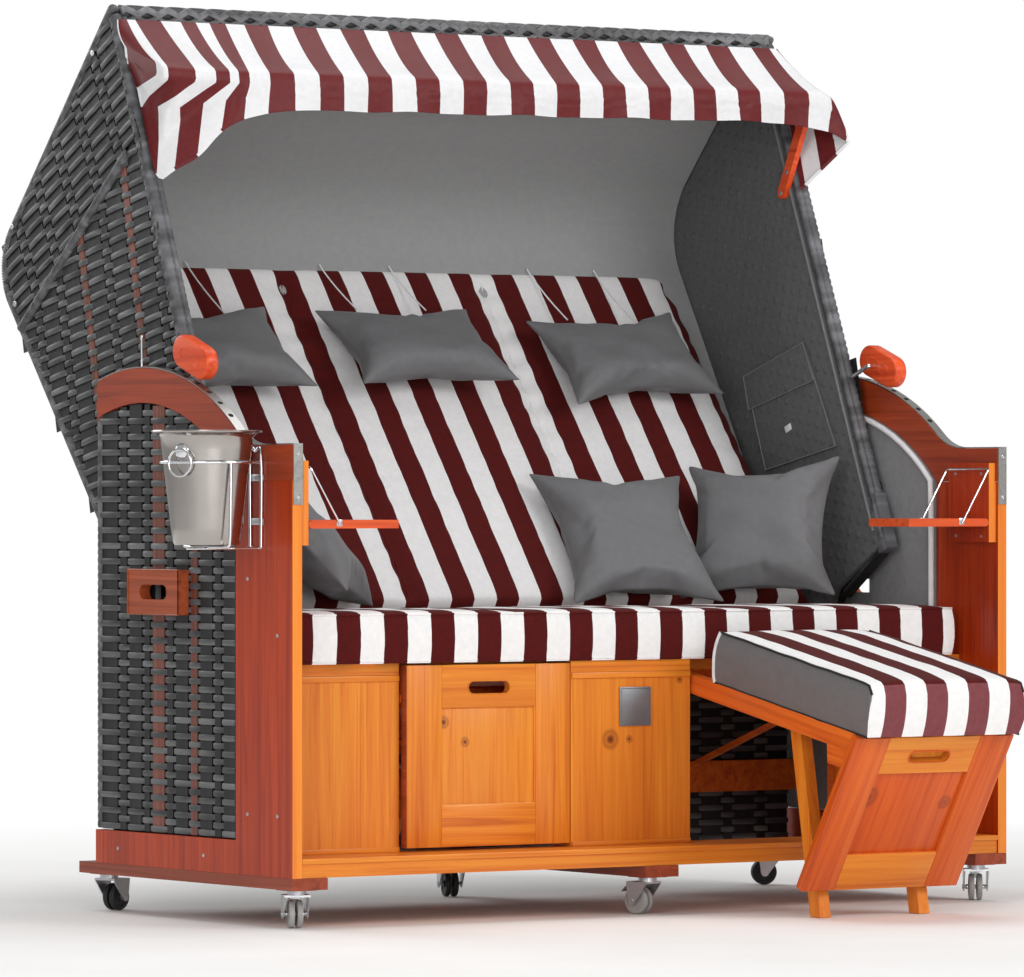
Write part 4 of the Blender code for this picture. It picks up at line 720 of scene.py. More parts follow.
def wrapped_rod(path, radius, pitch, normal=(1, 0, 0)):
    """A rod bound with strip: low ribs round it at a steady pitch."""
    path = [Vector(p) for p in path]
    lengths = [0.0]
    for a, b in zip(path, path[1:]):
        lengths.append(lengths[-1] + (b - a).length)
    steps = int(lengths[-1] / (pitch / 3))
    stations, index = [], 0
    for i in range(steps + 1):
        want = lengths[-1] * i / steps
        while index < len(path) - 2 and lengths[index + 1] < want:
            index += 1
        share = (want - lengths[index]) / (lengths[index + 1] - lengths[index])
        stations.append(path[index].lerp(path[index + 1], share))
    points, sides_count = [], 12
    for i, (at, (side, up)) in enumerate(zip(stations, frames_along(stations, Vector(normal)))):
        swell = 1.0 if i % 3 else 0.87
        for j in range(sides_count):
            angle = 2 * math.pi * j / sides_count
            points.append(at + (side * math.cos(angle) + up * math.sin(angle)) * radius * swell)
    return points, skin(len(stations), sides_count)


# Wooden carcass

def dress(node, finish):
    """Gives a CAD node its finish."""
    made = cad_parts[node]
    made.data.materials.clear()
    made.data.materials.append(finish)


def dress_carcass():
    for name in ("left", "middle", "right"):
        dress("runner_" + name, runner_pine)
    for name in sides:
        dress("side_frame_" + name, post_pine)
        dress("arch_" + name, arch_pine)
        dress("carry_handle_" + name, handle_pine)
        dress("shelf_" + name, shelf_pine)
        dress("shelf_stay_" + name, chrome_wire)
        dress("footrest_frame_" + name, depth_pine)
        dress("footrest_legs_" + name, panel_pine)
        dress("footrest_rollers_" + name, zinc)
    for node in ("front_panel_left", "front_panel_centre", "front_panel_right"):
        dress(node, panel_pine)
    dress("front_sill", across_pine)
    dress("seat_box", depth_pine)
    dress("seat_board", across_pine)
    dress("awning_bow", grip_pine)


def arch_profile(offset=0.0, start=None):
    """The arch's top line from the post's front to the rear, moved out by an offset."""
    centre, radius = arch_centre, arch_radius + offset
    fillet = 0.118 - offset
    level = 0.8585 + offset
    height = level + fillet - centre[1]
    across = math.sqrt((radius + fillet) ** 2 - height ** 2)
    corner = (centre[0] - across, level + fillet)
    low = [(start if start is not None else 0.0, level)]
    end = math.degrees(math.atan2(centre[1] - corner[1], centre[0] - corner[0]))
    bend = arc_points(corner, fillet, -90.0, end, 6)
    first = math.degrees(math.atan2(corner[1] - centre[1], corner[0] - centre[0]))
    last = math.degrees(math.asin((0.675 - centre[0]) / radius))
    return low + bend + arc_points(centre, radius, first, 90.0 - last, 24)[1:]


def make_arch_metal():
    """Steel strip along each arch, bent down the post's front, with holes and screws."""
    for name, side in sides.items():
        outer = arch_profile(0.0022, -0.0022)
        inner = arch_profile(0.0004, -0.0004)
        line = [(-0.0022, 0.752), (-0.0022, 0.856)] + outer
        under = [(-0.0004, 0.752), (-0.0004, 0.856)] + inner
        outline = line + under[::-1]
        low, high = sorted((side * 0.7798, side * 0.7988))
        body = plate(outline, low, high, "X", bevel=0.0)
        add_piece("arch_rail_" + name, body, rail_steel, "carcass", (), 30.0)
        # The rail's holes are black discs laid on the strip: painted shade in the holes.
        holes = []
        top = [p for p in outer if p[0] > 0.17]
        for index in range(3, len(top) - 1, 2):
            y, z = top[index]
            angle = math.atan2(z - arch_centre[1], y - arch_centre[0])
            out = Vector((0.0, math.cos(angle), math.sin(angle)))
            turn = Vector((0, 0, 1)).rotation_difference(out).to_matrix().to_4x4()
            dot = lathe([(0.0002, -0.0004), (0.0002, 0.0003), (0.0052, 0.0003), (0.0052, -0.0004)], 16)
            holes.append(moved(dot, Matrix.Translation((side * 0.7893, y, z)) @ turn))
        add_piece("arch_rail_holes_" + name, merged(holes), shade_black, "carcass", (),
                  30.0)
        heads = screws([(side * 0.7893, -0.0024, 0.842), (side * 0.7893, -0.0024, 0.765)])
        add_piece("arch_rail_screws_" + name, heads, zinc, "carcass")
    pin = lathe([(0.0002, 0.0), (0.0018, 0.0), (0.0018, 0.048), (0.0029, 0.050), (0.0029, 0.056),
                 (0.0002, 0.058)], 16, (-0.7972, 0.520, 1.0045))
    add_piece("arch_pin_left", pin, chrome_wire, "carcass")


def inner_arch(inset):
    """Inner edge of the arch and down behind the post, for the lining and its piping."""
    radius = arch_radius - 0.064 - inset
    arc = arc_points(arch_centre, radius, 140.0, 66.0, 16)
    return [(0.190 + inset, 0.160), (0.190 + inset, 0.48 + radius * math.sin(math.radians(140.0)) - 0.03)] \
        + [p for p in arc if p[0] > 0.190 + inset]


def make_sides():
    """Woven side walls with a black sheet behind as painted shade in their gaps, grey lining and white piping, and
    their screws.
    """
    for name, side in sides.items():
        def to_place(a, b, c, side=side):
            return Vector((side * (0.7955 + c), a, b))

        outline = [(0.192, 0.154)] + [(0.192, 0.795)] + \
            [(p[0], p[1]) for p in arc_points(arch_centre, 0.457, 136.0, 71.0, 16) if p[0] > 0.192] + \
            [(0.674, 0.154)]
        slot = [(0.36, 0.556), (0.36, 0.630), (0.526, 0.630), (0.526, 0.556)]
        staves = [(0.2165, 0.040, "dark"), (0.2565, 0.020, "dark"), (0.2965, 0.040, "dark"),
                  (0.3385, 0.022, "wood"), (0.3805, 0.040, "dark"), (0.4215, 0.020, "dark"),
                  (0.4625, 0.040, "wood"), (0.5025, 0.018, "dark"), (0.5435, 0.042, "dark"),
                  (0.5865, 0.022, "dark"), (0.6345, 0.054, "dark")]
        add_weave("side_weave_" + name, outline, staves, to_place, "carcass", strip_y,
                  ("side_wicker_" + name,), holes=(slot,))
        # Black sheet behind the side weave: painted shade seen through its gaps.
        low, high = sorted((side * 0.789, side * 0.786))
        hand = [(0.3955, 0.5795), (0.3955, 0.6065), (0.4905, 0.6065), (0.4905, 0.5795)]
        add_piece("side_backing_" + name, plate(outline, low, high, "X", (hand,)), shade_black, "carcass",
                  (), 30.0)
        low, high = sorted((side * 0.7855, side * 0.7725))
        add_piece("arm_lining_" + name, plate(outline, low, high, "X", (hand,), bevel=0.002), arm_cloth,
                  "carcass", (), 40.0)
        line = [Vector((side * 0.771, y, z)) for y, z in inner_arch(0.006)]
        add_piece("arm_piping_" + name, tube(line, 0.0055, 10, (1, 0, 0)), piping_cloth, "carcass",
                  (), 60.0)
        edge = [Vector((side * 0.7955, 0.668, 0.156)), Vector((side * 0.7955, 0.668, 0.905))]
        add_piece("side_binding_" + name, wrapped_rod(edge, 0.0065, 0.0143), wrapped_strip, "carcass",
                  (), 50.0)
        heads = [(side * 0.8003, 0.05, 0.20), (side * 0.8003, 0.15, 0.20), (side * 0.8003, 0.05, 0.52),
                 (side * 0.8003, 0.15, 0.62), (side * 0.8003, 0.30, 0.12), (side * 0.8003, 0.60, 0.12)]
        add_piece("side_screws_" + name, screws(heads, 0.0035, (side, 0, 0)), zinc, "carcass")
        frame_line = [(0.3545, 0.5525), (0.5315, 0.5525), (0.5315, 0.6335), (0.3545, 0.6335)]
        rim = [Vector((side * 0.8205, a, b)) for a, b in frame_line]
        add_piece("carry_handle_trim_" + name,
                  tube(smooth_path(rim, 1, True), 0.0016, 8, (1, 0, 0), True), handle_pine, "carcass",
                  (), 60.0)


def make_rear_wall():
    def to_place(a, b, c):
        return Vector((a, 0.671 + c, b))

    low_x, high_x = -0.771, 0.771
    outline = [(low_x, 0.093), (low_x, 0.459), (high_x, 0.459), (high_x, 0.093)]
    staves = stave_places(low_x + 0.004, high_x - 0.02, 0.046, 0.020, 0.007)
    add_weave("rear_weave", outline, staves, to_place, "carcass", strip_x, ("rear_wicker",))

    def to_inner(a, b, c):
        return Vector((-a, 0.6575 - c, b))

    rows, upright = weave(outline, 0.0143, staves, 0.0021, to_inner)
    add_piece("rear_weave_inside", rows, strip_x, "carcass", (), 50.0)
    shape = merged(upright.values())
    add_piece("rear_weave_inside_staves", shape, stave_dark, "carcass", (), 30.0)
    # Black sheet between the outer and inner rear weaves: painted shade seen through their gaps.
    add_piece("rear_backing", board((low_x, 0.6625, 0.093), (high_x, 0.6655, 0.459), 0.0005), shade_black,
              "carcass", (), 30.0)
    rail = [Vector((x, 0.664, 0.456)) for x in (low_x + 0.006, high_x - 0.006)]
    add_piece("rear_binding", wrapped_rod(rail, 0.0075, 0.0143, (0, 0, 1)), wrapped_strip, "carcass",
              (), 50.0)


def framed_front(name, at, body, node, stile_finish, field_finish):
    """A drawer front of two stiles, two rails and a sunk field, with a hand slot."""
    width, height, stile = 0.357, 0.330, 0.076
    half = width / 2
    top_rail = 0.078
    slot = [(p[0], p[1]) for p in
            arc_points((0.034, -0.042), 0.012, -90, 90, 8) + arc_points((-0.034, -0.042), 0.012, 90,
                                                                        270, 8)]
    stiles = merged([board((-half, 0.0, -height), (-half + stile, 0.018, 0.0), 0.0015),
                     board((half - stile, 0.0, -height), (half, 0.018, 0.0), 0.0015)])
    upper = plate([(-half + stile, -top_rail), (half - stile, -top_rail), (half - stile, 0.0),
                   (-half + stile, 0.0)], 0.0003, 0.018, "Y", (slot,), 0.0008, 1)
    lower = board((-half + stile, 0.0003, -height), (half - stile, 0.018, -height + stile), 0.0012)
    field = board((-half + stile - 0.004, 0.0055, -height + stile - 0.004),
                  (half - stile + 0.004, 0.0145, -top_rail + 0.004), 0.001)
    inner_half, low, high = half - stile, -height + stile, -top_rail
    bead = [Vector((-inner_half, 0.0045, low)), Vector((inner_half, 0.0045, low)),
            Vector((inner_half, 0.0045, high)), Vector((-inner_half, 0.0045, high))]
    beads = merged([tube([a, b], 0.0017, 8, (0, 1, 0)) for a, b in zip(bead, bead[1:] + bead[:1])])
    pieces = (("stiles", stiles, stile_finish, (node,)), ("rails", merged([upper, lower]), across_pine,
                                                          ()),
              ("field", field, field_finish, ()), ("bead", beads, field_finish, ()))
    for part_name, shape, finish, stands_for in pieces:
        add_piece(name + "_" + part_name, moved(shape, at), finish, body, stands_for,
                  40.0,
                  Matrix.Identity(4))
    liner = [Vector((p[0], 0.0, p[1])) for p in slot]
    add_piece(name + "_slot_edge", moved(tube(smooth_path(liner, 1, True), 0.0014, 6, (0, 1, 0), True),
                                         at),
              stile_finish, body, (), 60.0, Matrix.Identity(4))


def make_fronts():
    left = chair @ Matrix.Translation((-0.3145, 0.1000, 0.462))
    framed_front("left_drawer", left, "footrest_left", "footrest_panel_left", panel_pine, field_pine)
    # A thin sheet in the dark runner colour on the drawer front's left side: painted shade on that side face.
    edge = board((-0.1797, 0.0006, -0.3294), (-0.1787, 0.0178, -0.0006), 0.0003)
    add_piece("left_drawer_shaded_side", moved(edge, left), runner_pine, "footrest_left",
              (),
              40.0, Matrix.Identity(4))
    right = chair @ Matrix.Translation((0.3145, -0.413254, 0.331976)) \
        @ Matrix.Rotation(math.radians(raised_lean), 4, "X")
    framed_front("right_drawer", right, "footrest_right", "footrest_panel_right", raised_pine,
                 raised_field_pine)
    trims = []
    for low_x, high_x in ((-0.779, -0.4985), (-0.133, 0.133), (0.4985, 0.779)):
        depth = 0.1188 if abs(low_x) > 0.2 else 0.0993
        trims.append(board((low_x, depth - 0.004, 0.1256), (high_x, depth + 0.003, 0.1345), 0.001))
        trims.append(board((low_x, depth - 0.003, 0.4332), (high_x, depth + 0.003, 0.4441), 0.001))
    add_piece("front_trims", merged(trims), across_pine, "carcass")
    add_piece("sill_skirting", board((-0.779, -0.0012, 0.116), (0.779, 0.004, 0.1256), 0.001),
              across_pine,
              "carcass")
    blank = plate([(-0.027, 0.344), (0.043, 0.344), (0.043, 0.416), (-0.027, 0.416)], 0.0962, 0.0978,
                  "Y",
                  bevel=0.0006)
    rim = [Vector((a, 0.0964, b)) for a, b in ((-0.024, 0.347), (0.040, 0.347), (0.040, 0.413),
                                               (-0.024, 0.413))]
    raised = tube(smooth_path(rim, 1, True), 0.0009, 6, (0, 1, 0), True)
    add_piece("bare_plate", merged([blank, raised]), plate_tin, "carcass", (), 40.0)
    seams = []
    for x in (-0.066, 0.020, 0.088, -0.64, -0.58, 0.58, 0.66):
        depth = 0.1192 if abs(x) > 0.2 else 0.0997
        seams.append(board((x - 0.0004, depth - 0.0004, 0.136), (x + 0.0004, depth + 0.001, 0.432),
                           0.0001, 1))
    add_piece("panel_board_seams", merged(seams), field_pine, "carcass", (), 30.0)


# Soft goods

def seat_half(depth):
    """Half width of the seat cushion: wide ears before the hood's sides, then narrow."""
    start = 0.185
    share = min(max((depth - start) / 0.022, 0.0), 1.0)
    return 0.745 + (0.700 - 0.745) * share * share * (3 - 2 * share)


def make_seat_cushion():
    """Box cushion in three parts with drawn-in sides, crowns and seams along its edges."""
    front, rear, low, thick = 0.090, 0.425, 0.4662, 0.088

    def crown(a, b):
        section = (a + 1) * 1.5
        place = 2 * (section - min(int(section), 2)) - 1
        swell = max(0.0, 1 - abs(place) ** 5) ** 0.5 * max(0.0, 1 - abs(b) ** 6) ** 0.5
        return 0.0075 * swell

    def point(a, b, c):
        y = front + (rear - front) * (b + 1) / 2
        bow = 1 - c * c
        x = a * (seat_half(y) - 0.004 + 0.004 * bow)
        if abs(b) > 0.999:
            y += b * (0.004 * bow - 0.003)
        z = low + thick * (c + 1) / 2
        wrinkle = noise.noise(Vector((x * 9, y * 14, c * 3))) * 0.0016
        if c > 0.999:
            z += crown(a, b) + wrinkle * (1 - b * b)
        elif abs(b) > 0.999:
            y += noise.noise(Vector((x * 16, c * 2.5, 4.0))) * 0.0014
        return x, y, z

    cushion = add_piece("seat_cushion_cover", block((120, 30, 8), point), seat_cloth, "carcass",
                        ("seat_cushion",), 75.0)
    ring = [Vector(point(a / 20, -1.0, 1.0)) for a in range(-20, 21)]
    ring += [Vector(point(1.0, b / 10, 1.0)) for b in range(-9, 10)]
    ring += [Vector(point(a / 20, 1.0, 1.0)) for a in range(20, -21, -1)]
    ring += [Vector(point(-1.0, b / 10, 1.0)) for b in range(9, -10, -1)]
    add_piece("seat_cushion_seam", tube(ring, 0.0022, 6, (0, 0, 1), True), seat_cloth, "carcass",
              (), 80.0)
    lower = [Vector((p.x, p.y, low + 0.004)) for p in ring]
    add_piece("seat_cushion_low_seam", tube(lower, 0.0020, 6, (0, 0, 1), True), seat_cloth, "carcass",
              (), 80.0)


def pad_plane(level, forward=0.0):
    norm = math.hypot(1.0, pad_slope)
    y = 0.0179 + pad_slope * (level - 0.3769)
    return y - forward / norm, level + forward * pad_slope / norm


def pad_bulge(across, along):
    """How far the pad's face stands forward: nearly flat, with a sewn channel between parts."""
    section = (max(-1.0, min(1.0, across)) + 1) * 1.5
    place = 2 * (section - min(int(section), 2)) - 1
    edge = max(0.0, 1 - abs(across) ** 26) ** 0.5 * max(0.0, 1 - abs(along) ** 40) ** 0.5
    level = max(0.0, 1 - max(0.0, (along - 0.80) / 0.16) ** 2)
    seam = math.exp(-((1 - abs(place)) / 0.06) ** 2) if abs(across) < 0.9 else 0.0
    return -0.012 + 0.025 * edge * (1 - 0.22 * abs(place) ** 4 * level) - 0.006 * seam * edge * level


def make_backrest():
    """Backrest pad in three crowned parts, with sewn channels between them."""
    middle, half = (pad_top + pad_bottom) / 2, (pad_top - pad_bottom) / 2

    def point(a, b, c):
        level = middle + half * b
        crease = 0.0
        if c > 0.999:
            forward = pad_bulge(a, b)
            pull = noise.noise(Vector((a * 7, b * 16, 1.5)))
            forward += pull * 0.0022 * (1 - b ** 4)
            seam = abs(((a + 1) * 1.5) % 1.0 - 0.5)
            crease = 0.0022 * math.sin(b * 46 + a * 9) * max(0.0, seam - 0.36) / 0.14
            forward += crease
        else:
            forward = -0.012 - 0.076 * (1 - c) / 2
        y, z = pad_plane(level, forward)
        x = a * (pad_half_width - 0.002 + 0.003 * (1 - c * c))
        return x, y, z

    cover = add_piece("backrest_cover", block((132, 90, 6), point), pad_cloth, "hood",
                      ("backrest_cushion",), 75.0, hood)
    ring = [Vector(point(a / 24, 1.0, 1.0)) for a in range(-24, 25)]
    add_piece("backrest_top_seam", tube(ring, 0.0026, 8), pad_cloth, "hood", (), 80.0,
              hood)
    for index, a in enumerate((-1 / 3, 1 / 3)):
        line = [Vector(point(a, b / 20, 1.0)) + Vector((0, -0.0006, 0)) for b in range(-19, 20)]
        add_piece("backrest_channel_seam_%d" % (index + 1), tube(line, 0.0012, 6, (1, 0, 0)), pad_cloth,
                  "hood", (), 80.0, hood)


def pillow_grid(width, height, thickness, cells, seed, slack):
    """A pillow of two sewn panels: swollen middle, drawn-in sides and pulled corners."""
    def shape(a, b, c):
        edge = max(abs(a), abs(b))
        swell = max(0.0, 1 - abs(a) ** 3.2) ** 0.62 * max(0.0, 1 - abs(b) ** 3.2) ** 0.62
        x = a * (width / 2 - 0.020 * (1 - b * b) ** 1.2)
        y = b * (height / 2 - 0.020 * (1 - a * a) ** 1.2)
        z = c * (0.003 + (thickness - 0.006) * swell) / 2
        around = math.atan2(b, a)
        near = max(0.0, edge - 0.35) / 0.65
        drift = 3.0 * noise.noise(Vector((a * 2, b * 2, seed)))
        strength = 0.55 + 1.3 * noise.noise(Vector((a * 3.1 - seed, b * 2.7, seed * 0.7)))
        pucker = math.sin(around * 19 + seed * 2.1 + drift) + 0.6 * math.sin(around * 33 - seed + drift)
        z += c * pucker * 0.0030 * near ** 1.4 * (1 - near) ** 0.45 * strength * slack
        fold = noise.noise(Vector((a * 1.7 + seed, b * 2.3 - seed, c * 0.4)))
        z += c * fold * 0.010 * swell * slack
        return x, y, z

    return block((cells, int(cells * height / width), 1), shape)


def inflate(shape, reach, frames=22):
    """Fills a sewn cover with air so that its panels pull into real wrinkles."""
    mesh = bpy.data.meshes.new("cover")
    mesh.from_pydata([Vector(p) for p in shape[0]], [], shape[1])
    cover = bpy.data.objects.new("cover", mesh)
    bpy.context.scene.collection.objects.link(cover)
    cloth = cover.modifiers.new("cloth", "CLOTH")
    settings = cloth.settings
    settings.quality = 6
    settings.mass = 0.25
    settings.tension_stiffness = 22
    settings.compression_stiffness = 22
    settings.shear_stiffness = 8
    settings.bending_stiffness = 0.35
    settings.use_pressure = True
    settings.uniform_pressure_force = 4.0
    settings.shrink_min = -0.035
    settings.effector_weights.gravity = 0.0
    cloth.point_cache.frame_start = 1
    cloth.point_cache.frame_end = frames
    scene = bpy.context.scene
    for number in range(1, frames + 1):
        scene.frame_set(number)
    solved = cover.evaluated_get(bpy.context.evaluated_depsgraph_get())
    after = [v.co.copy() for v in solved.data.vertices]
    scene.frame_set(1)
    points = []
    for before, now in zip(shape[0], after):
        step = now - Vector(before)
        if step.length > reach:
            step *= reach / step.length
        points.append(Vector(before) + step)
    bpy.data.objects.remove(cover, do_unlink=True)
    return points, shape[1]


def fit_pillow(shape, width, height, thickness):
    """Scales an inflated cover back into its size."""
    reach = [max(abs(p[i]) for p in shape[0]) for i in range(3)]
    scale = [min(1.0, size / 2 / r) for size, r in zip((width, height, thickness), reach)]
    return [Vector((p[0] * scale[0], p[1] * scale[1], p[2] * scale[2])) for p in shape[0]], shape[1]


def add_pillow(name, node, size, place, angles, body, seed, slack=1.0):
    width, height, thickness = size
    cells = 34
    shape = pillow_grid(width, height, thickness * 0.90, cells, seed, slack)
    shape = inflate(shape, 0.016)
    shape = fit_pillow(shape, width, height, thickness)
    turn = Matrix.Translation(place) @ Euler(angles).to_matrix().to_4x4()
    made = add_piece(name, shape, pillow_cloth, body, (node,), 100.0, chair @ turn, 1)
    return made


pillow_places = (
    ("neck_pillow_1", (-0.4998, 0.7563, 1.0402), (0.7625, -0.0604, 0.0631)),
    ("neck_pillow_2", (-0.0357, 0.7635, 1.0547), (0.6942, -0.0223, 0.0268)),
    ("neck_pillow_3", (0.4501, 0.7589, 1.0383), (0.8235, -0.0641, 0.0593)),
    ("scatter_cushion_1", (-0.5152, 0.4162, 0.6907), (0.7959, 0.119, 0.8268)),
    ("scatter_cushion_2", (0.2576, 0.4809, 0.688), (0.8779, 0.0, -0.1693)),
    ("scatter_cushion_3", (0.5344, 0.4284, 0.7009), (1.0115, -0.0518, -0.8403)))


def make_pillows():
    for index, (node, place, angles) in enumerate(pillow_places):
        neck = node.startswith("neck")
        size = (0.370, 0.230, 0.090) if neck else (0.325, 0.325, 0.112)
        made = add_pillow(node.replace("_", "_cover_", 1), node, size, place, angles,
                          "hood" if neck else "carcass", index + 1)
        if not neck:
            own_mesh(made)


def make_neck_straps():
    """Two thin white straps from the pad's top edge to each neck pillow."""
    to_hood = hood.inverted() @ chair
    for index, (_, place, _) in enumerate(pillow_places[:3]):
        centre = to_hood @ Vector(place)
        for number, offset in enumerate((-0.080, 0.080)):
            path = []
            for step in range(7):
                share = step / 6
                level = pad_top - 0.003 + (centre.z + 0.092 - pad_top) * share
                x = centre.x + offset - 0.018 * (1 - share)
                lift = 0.0145 + 0.030 * share ** 1.5
                y, z = pad_plane(level, lift)
                path.append(Vector((x, y, z)))
            add_piece("neck_strap_%d_%d" % (index + 1, number + 1),
                      tube(smooth_path(path, 3), 0.0015, 8, (1, 0, 0)),
                      piping_cloth, "hood", (), 60.0, hood)


def footrest_matrix():
    return chair @ Matrix.Translation((0.3145, 0.12, 0.4165)) @ Matrix.Rotation(math.radians(footrest_pitch), 4, "X")


def make_footrest_cushion():
    """Box cushion with striped top and front, grey sides and piping round its edges."""
    low, thick, half_x = 0.035 - 0.0118 + 0.0003, 0.094, 0.178
    rear, length = -0.080, 0.485
    at = footrest_matrix()

    def point(a, b, c):
        bow = 1 - c * c
        x = a * (half_x - 0.006 + 0.006 * bow)
        y = rear - length / 2 + b * (length / 2 - 0.006 + 0.005 * bow)
        z = low + thick * (c + 1) / 2
        front = max(0.0, (-b - 0.93) / 0.07)
        z -= (c + 1) / 2 * 0.016 * front ** 2
        if c > 0.999:
            z += 0.010 * max(0.0, 1 - a ** 4) ** 0.5 * max(0.0, 1 - b ** 6) ** 0.5
            z += noise.noise(Vector((a * 2.5, b * 4, 7.0))) * 0.0015
        elif abs(a) > 0.999:
            x += a * noise.noise(Vector((y * 18, c * 2, 9.0))) * 0.002
        return x, y, z

    shape = block((44, 56, 8), point)
    cushion = add_piece("footrest_cushion_cover", shape, footrest_cloth, "footrest_right",
                        ("footrest_cushion",), 70.0, at)
    cushion.data.materials.append(pillow_cloth)
    cushion.data.materials.append(footrest_face_cloth)
    across = at.to_3x3() @ Vector((1, 0, 0))
    ahead = at.to_3x3() @ Vector((0, -1, 0))
    for face in cushion.data.polygons:
        if abs(face.normal.dot(across)) > 0.7:
            face.material_index = 1
        elif face.normal.dot(ahead) > 0.7:
            face.material_index = 2
        elif face.normal.dot(ahead) < -0.7:
            face.material_index = 1
    for label, c in (("top", 1.0), ("low", -1.0)):
        for side, a in (("left", -1.0), ("right", 1.0)):
            line = [Vector(point(a, b / 20, c)) for b in range(-20, 21)]
            add_piece("footrest_piping_%s_%s" % (label, side), tube(line, 0.0024, 8), black_piping,
                      "footrest_right", (), 80.0, at)
    for side, a in (("left", -1.0), ("right", 1.0)):
        line = [Vector(point(a, 1.0, c / 4)) for c in range(-4, 5)]
        add_piece("footrest_rear_piping_" + side, tube(line, 0.0034, 8, (1, 0, 0)), piping_cloth,
                  "footrest_right", (), 80.0, at)


# Hood

def fillet_2d(before, corner, after, radius, steps):
    first = (Vector(before) - Vector(corner)).normalized()
    second = (Vector(after) - Vector(corner)).normalized()
    half = first.angle(second) / 2
    centre = Vector(corner) + (first + second).normalized() * radius / math.sin(half)
    start = (Vector(corner) + first * radius / math.tan(half) - centre).normalized()
    end = (Vector(corner) + second * radius / math.tan(half) - centre).normalized()
    return [centre + start.slerp(end, i / steps) * radius for i in range(steps + 1)]


roof_front = (-0.274, 1.180)
knee = (0.303, 0.9055)
rear_foot = (0.0385, 0.050)


def hood_outline(inset=0.0):
    """Side outline of the hood, drawn in by an inset."""
    bend = fillet_2d(roof_front, knee, rear_foot, 0.115, 10)
    boss = arc_points((0.0, 0.0), 0.042, 0.0, -160.0, 10)
    line = [(hood_front, 0.093), (hood_front, 1.160), roof_front] + [tuple(p) for p in bend] \
        + [rear_foot] + boss + [(-0.113, 0.054)]
    if not inset:
        return line
    middle = (0.0, 0.62)
    bm_line = []
    count = len(line)
    for i, p in enumerate(line):
        before, after = Vector(line[i - 1]), Vector(line[(i + 1) % count])
        along = (after - before).normalized()
        normal = Vector((along.y, -along.x))
        if normal.dot(Vector(middle) - Vector(p)) < 0:
            normal = -normal
        bm_line.append(tuple(Vector(p) + normal * inset))
    return bm_line


def roof_line(offset=0.0, steps=10):
    """Outer line of the roof and back from the front edge to the foot, moved inwards."""
    bend = fillet_2d(roof_front, knee, rear_foot, 0.115, steps)
    line = [Vector(roof_front)] + bend + [Vector(rear_foot)]
    moved_line = []
    for i, p in enumerate(line):
        along = (line[min(i + 1, len(line) - 1)] - line[max(i - 1, 0)]).normalized()
        moved_line.append(p + Vector((along.y, -along.x)) * offset)
    return moved_line


